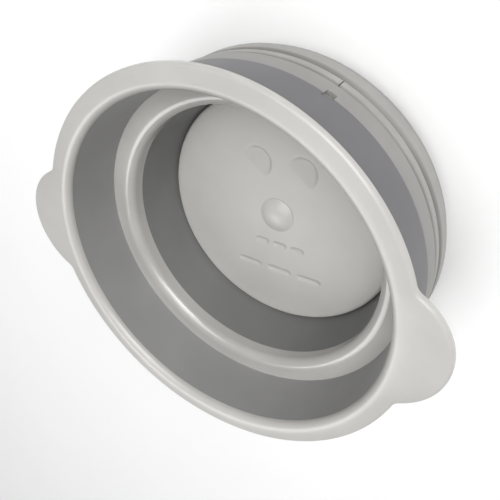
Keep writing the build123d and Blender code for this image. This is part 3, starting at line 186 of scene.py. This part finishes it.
def moulded(name, colour, roughness, grain=1400.0, grain_depth=0.02, mottle=0.05, wear=0.06, hollow_shade=0.0,
            flow=0.0, sheen=0.0, coat=0.0, grooves=()):
    """Moulded plastic or rubber.

    It has a cloudy colour, lighter worn edges, painted shade that darkens hollows and the given grooves by a
    share of the colour, roughness that varies, a fine grain and, with flow, the faint upright lines of a soft
    moulding.
    """
    material, tree, shader = new_material(name, colour, roughness)
    links = tree.links
    surface = tree.nodes.new("ShaderNodeNewGeometry")
    position, pointiness = surface.outputs["Position"], surface.outputs["Pointiness"]

    clouds = texture(tree, "ShaderNodeTexNoise", position, Scale=22.0, Detail=5.0, Roughness=0.55)
    cloudy = ramp(tree, clouds.outputs["Fac"],
                  [(0.3, scaled(colour, 1.0 - mottle)), (0.7, scaled(colour, 1.0 + mottle))])
    edges = ramp(tree, pointiness, [(0.5, grey(0.0)), (0.58, grey(wear * 4))])
    worn = tree.nodes.new("ShaderNodeMixRGB")
    worn.blend_type = "SCREEN"
    worn.inputs["Color2"].default_value = (*scaled(colour, 0.5), 1.0)
    links.new(edges.outputs["Color"], worn.inputs["Fac"])
    links.new(cloudy.outputs["Color"], worn.inputs["Color1"])
    tint = worn
    # painted shade: darker where the surface is concave
    if hollow_shade:
        painted_hollow_shade = ramp(tree, pointiness, [(0.40, grey(1.0 - hollow_shade)), (0.49, grey(1.0))])
        tint = multiplied(tree, tint.outputs["Color"], painted_hollow_shade.outputs["Color"])
    # painted shade: darker bands at the given groove heights
    if grooves:
        groove_shade = painted_groove_shade(tree, position, grooves)
        tint = multiplied(tree, tint.outputs["Color"], groove_shade.outputs["Color"])
    links.new(tint.outputs["Color"], shader.inputs["Base Color"])

    smudges = texture(tree, "ShaderNodeTexNoise", position, Scale=60.0, Detail=4.0, Roughness=0.6)
    rough = ramp(tree, smudges.outputs["Fac"],
                 [(0.3, grey(roughness - 0.025)), (0.72, grey(roughness + 0.035))])
    links.new(rough.outputs["Color"], shader.inputs["Roughness"])

    fine = texture(tree, "ShaderNodeTexNoise", position, Scale=grain, Detail=3.0, Roughness=0.6)
    bump = bumped(tree, fine.outputs["Fac"], 0.35, grain_depth)
    if flow:
        upright = stretched(tree, position, (1.0, 1.0, 0.06))
        lines = texture(tree, "ShaderNodeTexNoise", upright, Scale=160.0, Detail=2.0, Roughness=0.5)
        bump = bumped(tree, lines.outputs["Fac"], 0.5, flow, under=bump)
    links.new(bump.outputs["Normal"], shader.inputs["Normal"])
    if sheen:
        shader.inputs["Sheen Weight"].default_value = sheen
        shader.inputs["Sheen Roughness"].default_value = 0.5
    if coat:
        shader.inputs["Coat Weight"].default_value = coat
        shader.inputs["Coat Roughness"].default_value = 0.2
    return material


def brushed(name, colour, roughness, along=(1.0, 1.0, 0.04)):
    """Brushed or turned metal: fine lines stretched along one axis."""
    material, tree, shader = new_material(name, colour, roughness, metallic=1.0)
    links = tree.links
    surface = tree.nodes.new("ShaderNodeNewGeometry")
    vector = stretched(tree, surface.outputs["Position"], along)
    lines = texture(tree, "ShaderNodeTexNoise", vector, Scale=900.0, Detail=3.0, Roughness=0.6).outputs["Fac"]
    tint = ramp(tree, lines, [(0.3, scaled(colour, 0.85)), (0.7, scaled(colour, 1.1))])
    links.new(tint.outputs["Color"], shader.inputs["Base Color"])
    rough = ramp(tree, lines, [(0.3, grey(roughness - 0.08)), (0.7, grey(roughness + 0.1))])
    links.new(rough.outputs["Color"], shader.inputs["Roughness"])
    links.new(bumped(tree, lines, 0.25, 0.01).outputs["Normal"], shader.inputs["Normal"])
    return material


def make_lens_material():
    """Green light pipe with small cells inside."""
    material, tree, shader = new_material("lens_green", (0.35, 0.75, 0.5), 0.12)
    surface = tree.nodes.new("ShaderNodeNewGeometry")
    cells = texture(tree, "ShaderNodeTexVoronoi", surface.outputs["Position"], Scale=1800.0)
    tint = ramp(tree, cells.outputs["Distance"], [(0.1, (0.3, 0.7, 0.45)), (0.8, (0.45, 0.85, 0.6))])
    tree.links.new(tint.outputs["Color"], shader.inputs["Base Color"])
    shader.inputs["Coat Weight"].default_value = 0.6
    return material


def make_board_material():
    """Green circuit board with a pattern of traces under the solder mask."""
    material, tree, shader = new_material("circuit_board", (0.02, 0.12, 0.05), 0.35)
    surface = tree.nodes.new("ShaderNodeNewGeometry")
    traces = texture(tree, "ShaderNodeTexBrick", surface.outputs["Position"], Scale=260.0, Mortar_Size=0.06)
    traces.inputs["Color1"].default_value = (0.015, 0.11, 0.04, 1.0)
    traces.inputs["Color2"].default_value = (0.02, 0.13, 0.05, 1.0)
    traces.inputs["Mortar"].default_value = (0.06, 0.3, 0.12, 1.0)
    tree.links.new(traces.outputs["Color"], shader.inputs["Base Color"])
    tree.links.new(bumped(tree, traces.outputs["Fac"], 0.4, 0.03).outputs["Normal"], shader.inputs["Normal"])
    return material


LIGHT = (0.49, 0.482, 0.462)
RUBBER = {"grain": 1900.0, "grain_depth": 0.03, "wear": 0.03, "flow": 0.003, "sheen": 0.15}
light_plastic = moulded("light_plastic", LIGHT, 0.34)
# painted shade: the rim, shoulder, disc, collar and housing are one light plastic, each copy scaled darker
# for how little light reaches that piece
shaded_rim_plastic = moulded("shaded_rim_plastic", scaled(LIGHT, 0.95), 0.36, coat=0.3)
shaded_shoulder_plastic = moulded("shaded_shoulder_plastic", scaled(LIGHT, 0.86), 0.2, coat=0.6)
shaded_disc_plastic = moulded("shaded_disc_plastic", scaled(LIGHT, 0.89), 0.4, mottle=0.04, hollow_shade=0.3)
cap_plastic = moulded("cap_plastic", LIGHT, 0.33)
shaded_base_plastic = moulded("shaded_base_plastic", scaled(LIGHT, 0.56), 0.46, hollow_shade=0.45)
shaded_ribbed_plastic = moulded("shaded_ribbed_plastic", scaled(LIGHT, 0.68), 0.46, hollow_shade=0.45, grooves=HOUSING_GROOVES)
sleeve_rubber = moulded("sleeve_rubber", (0.247, 0.246, 0.244), 0.62, **RUBBER)
# painted shade: the outer band is the sleeve's rubber drawn darker
shaded_band_rubber = moulded("shaded_band_rubber", (0.132, 0.130, 0.137), 0.66, **RUBBER)

# finishes of the CAD nodes that stay: by material slot, or by name where the slot's finish isn't theirs
SLOT_FINISH = {
    "light_plastic": light_plastic,
    "grey_sleeve": sleeve_rubber,
    "grey_tub": moulded("tub_plastic", (0.172, 0.173, 0.167), 0.5, wear=0.03),
    "dark_rubber": moulded("dark_rubber", (0.035, 0.035, 0.037), 0.7, grain=2200.0, grain_depth=0.04,
                           wear=0.02, sheen=0.1),
    "steel": brushed("steel", (0.56, 0.56, 0.57), 0.34),
    "bearing_steel": brushed("bearing_steel", (0.66, 0.66, 0.67), 0.2, along=(0.2, 0.2, 4.0)),
    "black_plastic": moulded("black_plastic", (0.03, 0.03, 0.032), 0.38, grain=2400.0, grain_depth=0.03,
                             wear=0.03),
    "white_plastic": moulded("white_plastic", (0.62, 0.62, 0.6), 0.4),
    "clear_lens": make_lens_material(),
    "circuit_board": make_board_material(),
}
# the housing and the bottom cover take darker copies of the light plastic: painted shade
OWN_FINISH = {"base_housing": shaded_ribbed_plastic, "bottom_cover": shaded_base_plastic}


# ---- Mesh helpers -----------------------------------------------------------------------------------
def rounded(points, radii, steps=6):
    """A closed outline with its corners rounded: each arc has the given radius and that many steps."""
    outline = []
    for i, radius in enumerate(radii):
        corner = Vector(points[i])
        if radius == 0:
            outline.append(tuple(corner))
            continue
        to_last = (Vector(points[i - 1]) - corner).normalized()
        to_next = (Vector(points[(i + 1) % len(points)]) - corner).normalized()
        half = to_last.angle(to_next) / 2
        centre = corner + (to_last + to_next).normalized() * (radius / math.sin(half))
        start = corner + to_last * (radius / math.tan(half)) - centre
        end = corner + to_next * (radius / math.tan(half)) - centre
        turn = start.angle(end)
        for k in range(steps + 1):
            share = k / steps
            arm = (start * math.sin((1 - share) * turn) + end * math.sin(share * turn)) / math.sin(turn)
            outline.append(tuple(centre + arm))
    return outline


def quarter(steps):
    """Angles from 0 to 90 degrees, in radians."""
    return [math.pi / 2 * k / steps for k in range(steps + 1)]


def finish_mesh(name, bm):
    """A smooth-shaded object in metres from a bmesh in millimetres."""
    bmesh.ops.scale(bm, vec=(MM, MM, MM), verts=bm.verts)
    bmesh.ops.remove_doubles(bm, verts=bm.verts, dist=1e-7)
    bmesh.ops.recalc_face_normals(bm, faces=bm.faces)
    mesh = bpy.data.meshes.new(name)
    bm.to_mesh(mesh)
    bm.free()
    mesh.polygons.foreach_set("use_smooth", [True] * len(mesh.polygons))
    mesh.set_sharp_from_angle(angle=math.radians(SHARP))
    made = bpy.data.objects.new(name, mesh)
    bpy.context.scene.collection.objects.link(made)
    return made


def skin_rings(bm, rings, on_axis=()):
    """Joins closed rings of points into a closed skin. Edges of a ring that lie on the axis get no faces."""
    count = len(rings[0])
    for k, ring in enumerate(rings):
        after = rings[(k + 1) % len(rings)]
        for i in range(count):
            j = (i + 1) % count
            if i not in on_axis:
                bm.faces.new((ring[i], ring[j], after[j], after[i]))


def turned(name, profile, azimuths=None, shape=None):
    """A profile of (radius, height) turned round the upright axis. shape(azimuth, r, z) may move a point."""
    bm = bmesh.new()
    rings = []
    for azimuth in azimuths or [360.0 * k / AROUND for k in range(AROUND)]:
        c, s = math.cos(math.radians(azimuth)), math.sin(math.radians(azimuth))
        moved = [shape(azimuth, r, z) for r, z in profile] if shape else profile
        rings.append([bm.verts.new((r * c, r * s, z)) for r, z in moved])
    following = profile[1:] + profile[:1]
    axial = {i for i, pair in enumerate(zip(profile, following)) if max(pair[0][0], pair[1][0]) <= ON_AXIS}
    skin_rings(bm, rings, axial)
    return finish_mesh(name, bm)


def box_into(bm, centre, size, azimuth=0.0):
    """Adds a box to a bmesh, turned to an azimuth; centre and size in the turned axes."""
    c, s = math.cos(math.radians(azimuth)), math.sin(math.radians(azimuth))
    corners = []
    for dx in (-0.5, 0.5):
        for dy in (-0.5, 0.5):
            for dz in (-0.5, 0.5):
                x, y, z = centre[0] + dx * size[0], centre[1] + dy * size[1], centre[2] + dz * size[2]
                corners.append(bm.verts.new((x * c - y * s, x * s + y * c, z)))
    for quad in ((0, 1, 3, 2), (4, 6, 7, 5), (0, 4, 5, 1), (2, 3, 7, 6), (0, 2, 6, 4), (1, 5, 7, 3)):
        bm.faces.new([corners[i] for i in quad])


def place(piece, body, material, slot, *cad_nodes):
    """Gives a piece its material, its body and the CAD nodes that it stands for."""
    piece.data.materials.append(material)
    if cad_nodes:
        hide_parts(*cad_nodes)
    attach(piece, body)


def azimuths_with_gap(centre, width, radius, wall=0.05):
    """Azimuths round a piece, with close pairs at both sides of a gap of that width."""
    half = math.degrees(width / 2 / radius)
    edges = [centre - half - wall, centre - half, centre + half, centre + half + wall]
    return sorted({360.0 * k / AROUND for k in range(AROUND)} | {e % 360.0 for e in edges})


def ease(x):
    """Rises smoothly from 0 to 1 as x goes from 0 to 1."""
    x = min(1.0, max(0.0, x))
    return x * x * (3 - 2 * x)


# ---- Rim with its two ears --------------------------------------------------------------------------
def rim_outline(azimuth):
    """Point and outward normal of the rim's outline, seen from above.

    The outline is a circle with a smaller circle for each ear, and a hollow arc where they meet.
    """
    a = math.radians(azimuth)
    ray = Vector((math.cos(a), math.sin(a)))
    side = 1.0 if ray.x >= 0 else -1.0
    ear = Vector((side * EAR_CENTRE, 0.0))
    blend_x = ((RIM_R + EAR_BLEND) ** 2 - (EAR_R + EAR_BLEND) ** 2 + EAR_CENTRE**2) / (2 * EAR_CENTRE)
    blend_y = math.sqrt((RIM_R + EAR_BLEND) ** 2 - blend_x**2)
    blend = Vector((side * blend_x, math.copysign(blend_y, ray.y)))
    ear_touch = ear + (blend - ear).normalized() * EAR_R
    from_x_axis = math.atan2(abs(ray.y), abs(ray.x))
    if from_x_axis >= math.atan2(blend_y, blend_x):
        return ray * RIM_R, ray
    if from_x_axis >= math.atan2(abs(ear_touch.y), abs(ear_touch.x)):
        along = blend.dot(ray)
        off = blend.length_squared - along**2
        point = ray * (along - math.sqrt(max(0.0, EAR_BLEND**2 - off)))
        return point, (blend - point).normalized()
    along = ear.dot(ray)
    point = ray * (along + math.sqrt(EAR_R**2 - (ear.length_squared - along**2)))
    return point, (point - ear).normalized()


def rim_section():
    """The rim's section, as (kind, size, height).

    "in" is a radius, "out" is an inset from the outline, and "across" is a share of the way between the
    flange's crest and its outer edge.
    """
    lip_r, edge_r, foot_r = 5.4, 2.0, 1.0  # roundings of the lip, of the flange's edge and of its foot
    fall, skin, edge_skin = 0.5, 2.7, 2.4  # fall of the flange, its thickness, that of its turned-down edge
    lip_back, key_in, key_out, key_depth = 5.8, 2.0, 3.2, 6.0  # the key rib that the sleeve grips
    edge_top, hollow_top, key_foot = RIM_TOP - fall, RIM_TOP - skin, RIM_UNDER - key_depth
    section = [("in", MOUTH_R + lip_r - lip_r * math.cos(t), RIM_TOP - lip_r + lip_r * math.sin(t))
               for t in quarter(9)]
    section += [("across", share, RIM_TOP - fall * share**1.6) for share in (0.1, 0.25, 0.45, 0.65, 0.85)]
    section += [("out", edge_r - edge_r * math.sin(t), edge_top - edge_r + edge_r * math.cos(t))
                for t in quarter(6)]
    section += [("out", foot_r - foot_r * math.cos(t), RIM_UNDER + foot_r - foot_r * math.sin(t))
                for t in quarter(4)]
    section += [("out", edge_skin, RIM_UNDER), ("out", edge_skin, hollow_top)]
    inner = [(lip_back, hollow_top), (lip_back, RIM_UNDER), (key_out, RIM_UNDER), (key_out, key_foot),
             (key_in, key_foot), (key_in, RIM_UNDER)]
    return section + [("in", MOUTH_R + out, z) for out, z in inner], edge_r


def make_rim():
    section, edge_r = rim_section()
    crest_r = MOUTH_R + 6.0
    bm = bmesh.new()
    rings = []
    for k in range(2 * AROUND):
        point, normal = rim_outline(180.0 * k / AROUND)
        ray = point.normalized()
        ring = []
        for kind, size, z in section:
            if kind == "in":
                at = ray * size
            elif kind == "out":
                at = point - normal * size
            else:
                at = (ray * crest_r).lerp(point - normal * edge_r, size)
            ring.append(bm.verts.new((at.x, at.y, z)))
        rings.append(ring)
    skin_rings(bm, rings)
    place(finish_mesh("rim", bm), "rim", shaded_rim_plastic, "light_plastic", "rim_ring")


def make_rim_ribs():
    """Stiffening ribs in the hollow under the flange and the ears."""
    count, width, height, length, start = 24, 1.6, 3.0, 8.6, MOUTH_R + 5.6
    ear_start = MOUTH_R + 6.0
    middle = RIM_TOP - 3.7
    bm = bmesh.new()
    for k in range(count):
        box_into(bm, (start + length / 2, 0.0, middle), (length, width, height), 360.0 / count * (k + 0.5))
    for side in (1, -1):
        for y, reach in ((-14.0, 24.0), (0.0, 26.0), (14.0, 24.0)):
            box_into(bm, (side * (ear_start + reach / 2), y, middle), (reach, width, height))
    place(finish_mesh("rim_ribs", bm), "rim", light_plastic, "light_plastic")


# ---- Folding sleeve: outer band and inner skin ------------------------------------------------------
def fold_with_rim(piece):
    """Gives the piece a copy of its mesh of its own."""
    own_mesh(piece)


def make_sleeve_band():
    """Outer band, with a notch in its foot over the collar's."""
    foot_r, foot_round = SLEEVE_TOP_R - 1.1, 0.5
    top_wall = SLEEVE_WALL - 0.4
    notch_top, notch_depth, row_gap = SLEEVE_FOOT + 3.7, 1.4, 0.05
    notch_half = math.degrees(NOTCH_WIDTH / 2 / foot_r)
    band = rounded(
        [(foot_r - SLEEVE_WALL, SLEEVE_FOOT), (foot_r, SLEEVE_FOOT), (SLEEVE_TOP_R, RIM_UNDER),
         (SLEEVE_TOP_R - top_wall, RIM_UNDER)],
        [0, foot_round, 0, 0],
    )
    # two rows of points up the outer face, so that the notch has a top edge
    lean = (SLEEVE_TOP_R - foot_r) / (RIM_UNDER - SLEEVE_FOOT)
    band[-2:-2] = [(foot_r + lean * (z - SLEEVE_FOOT), z) for z in (notch_top, notch_top + row_gap)]

    def notch(azimuth, r, z):
        outer = z <= notch_top and r > foot_r - 1.2
        inside = abs(azimuth - NOTCH_AZIMUTH) <= notch_half + SLACK and outer
        return (foot_r - notch_depth if inside else r), z

    piece = turned("sleeve_band", band, azimuths_with_gap(NOTCH_AZIMUTH, NOTCH_WIDTH, foot_r), notch)
    place(piece, "base", shaded_band_rubber, "grey_sleeve", "folding_sleeve")
    fold_with_rim(piece)


def make_sleeve_skin():
    """Inner skin, from the shoulder's edge up to the key rib under the rim."""
    top_wall, grip = 1.9, 6.5
    skin = [(SHOULDER_R, SHOULDER_EDGE), (SHOULDER_R + SLEEVE_WALL, SHOULDER_EDGE),
            (MOUTH_R + top_wall, RIM_UNDER - grip), (MOUTH_R + top_wall, RIM_UNDER), (MOUTH_R, RIM_UNDER)]
    piece = turned("sleeve_skin", skin)
    place(piece, "base", sleeve_rubber, "grey_sleeve")
    fold_with_rim(piece)


# ---- Shoulder and collar ----------------------------------------------------------------------------
def make_shoulder():
    """Step between the chambers, with a rounded bead round its inner edge."""
    lip_r, lip_in, lip_foot = 101.2, 103.8, tub_high.z + 0.1
    bead_r, flange_r, flange_foot = 109.0, 122.0, 66.1
    under_r, under_outer, under_inner = 104.4, 74.4, 72.4
    profile = rounded(
        [(lip_r, lip_foot), (lip_r, SHOULDER_TOP - 0.6), (bead_r, SHOULDER_TOP - 0.4),
         (SHOULDER_R, SHOULDER_EDGE), (flange_r, SHOULDER_EDGE), (flange_r, flange_foot),
         (SHOULDER_R, flange_foot), (SHOULDER_R, under_outer), (under_r, under_inner), (lip_in, lip_foot)],
        [0, 6.5, 12.0, 0, 0.4, 0, 0, 0, 5.0, 0],
        steps=12,
    )
    place(turned("shoulder", profile), "base", shaded_shoulder_plastic, "light_plastic", "shoulder_ring")


def make_collar():
    """Light band under the sleeve, with a notch in its upper edge and a web that reaches in to the tub."""
    outer_r, foot, top = collar_high.x, collar_low.z, 65.9
    neck_r, neck_in_r, neck_top = 125.5, 123.0, 76.3
    web_r, web_top, web_foot = 106.0, 61.1, 58.6
    key_r, key_in_r, key_foot, back_r = 120.2, 118.0, 49.5, 125.2
    notch_foot, notch_r, notch_half = 60.8, 125.7, math.degrees(NOTCH_WIDTH / 2 / outer_r)
    profile = rounded(
        [(outer_r, foot), (outer_r, top), (neck_r, top), (neck_r, neck_top), (neck_in_r, neck_top),
         (neck_in_r, web_top), (web_r, web_top), (web_r, web_foot), (key_in_r, web_foot),
         (key_in_r, key_foot), (key_r, key_foot), (key_r, web_foot), (back_r, web_foot), (back_r, foot)],
        [1.1, 1.4] + [0] * 12,
    )
    # two rows of points up the outer face, so that the notch has a foot
    row_gap = 0.05
    above = next(i for i, (_, z) in enumerate(profile) if z > notch_foot)
    profile[above:above] = [(outer_r, notch_foot - row_gap), (outer_r, notch_foot)]

    def notch(azimuth, r, z):
        outer = z >= notch_foot and r > notch_r
        inside = abs(azimuth - NOTCH_AZIMUTH) <= notch_half + SLACK and outer
        return (notch_r if inside else r), z

    around = azimuths_with_gap(NOTCH_AZIMUTH, NOTCH_WIDTH, outer_r)
    place(turned("collar", profile, around, notch), "base", shaded_base_plastic, "light_plastic", "collar_ring")


# ---- Wash disc and its cap --------------------------------------------------------------------------
def sunk(x, y):
    """Depth of the finger dimples and of the two rows of plain bars in the disc's top."""
    depth = 0.0
    dimple_x, dimple_y, dimple_r, dimple_depth, dimple_edge = 18.8, 39.9, 13.4, 2.8, 3.2
    for side in (1, -1):
        dx, dy = x - side * dimple_x, y - dimple_y
        scoop = ease(0.25 + (0.6 * dx + 0.8 * dy) / 20.0)  # deeper towards one side
        depth += dimple_depth * scoop * ease((dimple_r - math.hypot(dx, dy)) / dimple_edge)
    bar_r, bar_depth, bar_edge, end_inset = 2.9, 1.3, 2.6, 3.0
    for row_y, length, middles in ((-27.0, 13.0, (-12.5, 3.0, 18.5)), (-51.5, 22.0, (-24.0, 3.0, 29.5))):
        for bar_x in middles:
            past_end = max(0.0, abs(x - bar_x) - (length / 2 - end_inset))
            depth += bar_depth * ease((bar_r - math.hypot(past_end, y - row_y)) / bar_edge)
    return depth


def make_disc():
    """Crowned disc with a rounded edge and a skirt, and vanes under it."""
    edge_r, crown, edge_top, skirt, skin = disc_high.x, disc_high.z, 26.0, disc_low.z + 1.5, 2.6
    crown_r, top_r, rows = 93.0, 92.0, 118
    edge_round, edge_drop = 3.2, 3.1
    rise = crown - edge_top
    ball = (crown_r**2 + rise**2) / (2 * rise)
    top = [(r, crown - ball + math.sqrt(ball**2 - r**2)) for r in (top_r * k / rows for k in range(rows + 1))]
    edge = [(edge_r - edge_round + edge_round * math.sin(t), edge_top - edge_drop + edge_drop * math.cos(t))
            for t in quarter(6)]
    hollow_top, hollow_r = crown - skin - 1.4, 70.0
    under = [(edge_r, skirt), (edge_r - 2.0, skirt), (edge_r - 3.4, edge_top - skin), (hollow_r, hollow_top),
             (0.0, hollow_top)]

    def dent(azimuth, r, z):
        if r > top_r - 2.0 or z < edge_top:
            return r, z
        a = math.radians(azimuth)
        return r, z - sunk(r * math.cos(a), r * math.sin(a))

    piece = turned("disc", top + edge + under, shape=dent)
    place(piece, "wash_drive", shaded_disc_plastic, "light_plastic", "wash_disc")

    vanes, middle, length, width, height = 6, 54.0, 66.0, 2.4, 3.4
    bm = bmesh.new()
    for k in range(vanes):
        box_into(bm, (middle, 0.0, skirt + 0.3), (length, width, height), 360.0 / vanes * (k + 0.5))
    place(finish_mesh("disc_vanes", bm), "wash_drive", shaded_disc_plastic, "light_plastic")


def make_cap():
    """Domed cap over the disc's screw."""
    radius, foot, top = cap_high.x, cap_low.z, cap_high.z
    side_height, skin, steps = 0.4, 1.4, 20
    rise = top - foot - side_height
    ball = (radius**2 + rise**2) / (2 * rise)
    falling = [radius * k / steps for k in range(steps - 1, -1, -1)]
    outer = [(radius, foot), (radius, foot + side_height)]
    outer += [(r, top - ball + math.sqrt(ball**2 - r**2)) for r in falling]
    inner = [(0.0, top - skin), (6.0, top - skin - 0.8), (radius - 2.0, foot)]
    place(turned("cap", outer + inner), "wash_drive", cap_plastic, "light_plastic", "disc_cap")


def finish_cad_nodes():
    """Gives the CAD nodes that stay their finishes."""
    slot_of = {row["node"]: row["material_slot"] for row in frame["record"]["subparts"]}
    for name, cad in frame["nodes"].items():
        cad.data.materials.clear()
        cad.data.materials.append(OWN_FINISH.get(name) or SLOT_FINISH[slot_of[name]])


# ---- Floor, light, camera ---------------------------------------------------------------------------
def make_floor():
    """Plain pale paper under the object."""
    material, tree, shader = new_material("floor_paper", grey(0.93), 0.9)
    surface = tree.nodes.new("ShaderNodeNewGeometry")
    fibres = texture(tree, "ShaderNodeTexNoise", surface.outputs["Position"], Scale=6.0, Detail=2.0)
    tint = ramp(tree, fibres.outputs["Fac"], [(0.3, grey(0.925)), (0.7, grey(0.935))])
    tree.links.new(tint.outputs["Color"], shader.inputs["Base Color"])
    shader.inputs["Specular IOR Level"].default_value = 0.0
    span, thickness = 8000.0, 20.0
    bm = bmesh.new()
    box_into(bm, (0.0, 0.0, -thickness / 2), (span, span, thickness))
    floor = finish_mesh("floor", bm)
    floor.data.materials.append(material)


def make_light(name, azimuth, elevation, size, power, distance=2.4):
    """A soft round light that faces the middle of the object, in metres and watts."""
    data = bpy.data.lights.new(name, "AREA")
    data.shape, data.size, data.energy = "DISK", size, power
    lamp = bpy.data.objects.new(name, data)
    bpy.context.scene.collection.objects.link(lamp)
    a, e = math.radians(azimuth), math.radians(elevation)
    back = Vector((math.cos(a) * math.cos(e), math.sin(a) * math.cos(e), math.sin(e)))
    lamp.location = back * distance + Vector((0, 0, RIM_TOP * MM / 2))
    lamp.rotation_euler = back.to_track_quat("Z", "Y").to_euler()


def make_world():
    """Pale studio walls at the horizon under a dark ceiling."""
    world = bpy.data.worlds.new("studio")
    bpy.context.scene.world = world
    world.use_nodes = True
    tree = world.node_tree
    direction = tree.nodes.new("ShaderNodeTexCoord")
    split = tree.nodes.new("ShaderNodeSeparateXYZ")
    tree.links.new(direction.outputs["Generated"], split.inputs["Vector"])
    walls, ceiling = grey(0.3), grey(0.02)
    fade = ramp(tree, split.outputs["Z"], [(0.0, walls), (0.14, walls), (0.42, ceiling)])
    tree.links.new(fade.outputs["Color"], tree.nodes["Background"].inputs["Color"])
    bpy.context.scene.view_settings.view_transform = "Standard"


def make_camera():
    """Looks down into the mouth from the +X +Y side, rolled so that +Y points up the picture."""
    data = bpy.data.cameras.new("camera")
    data.lens, data.sensor_width = 43.3, 36.0
    camera = bpy.data.objects.new("camera", data)
    bpy.context.scene.collection.objects.link(camera)
    rim_centre = Vector((0, 0, RIM_TOP))
    # both offsets are in rim radii
    eye = (rim_centre + Vector((1.334, 1.723, 1.802)) * RIM_R) * MM
    aim = (rim_centre + Vector((0.232, 0.247, 0.0)) * RIM_R) * MM
    forward = (aim - eye).normalized()
    right = forward.cross(Vector((0, 1, 0))).normalized()
    turn = camera.matrix_world.to_3x3()
    turn.col[0], turn.col[1], turn.col[2] = right, right.cross(forward), -forward
    camera.matrix_world = turn.to_4x4()
    camera.location = eye
    bpy.context.scene.camera = camera


make_rim()
make_rim_ribs()
make_sleeve_band()
make_sleeve_skin()
make_shoulder()
make_collar()
make_disc()
make_cap()
finish_cad_nodes()

make_floor()
make_light("top_box", azimuth=60.0, elevation=70.0, size=1.3, power=15.0, distance=1.5)
make_light("front_box", azimuth=52.0, elevation=42.0, size=1.5, power=37.0)
make_light("left_box", azimuth=125.0, elevation=50.0, size=1.4, power=2.0)
make_light("right_box", azimuth=322.0, elevation=40.0, size=1.4, power=2.0)
make_light("back_box", azimuth=240.0, elevation=44.0, size=1.4, power=19.0)
make_world()
make_camera()
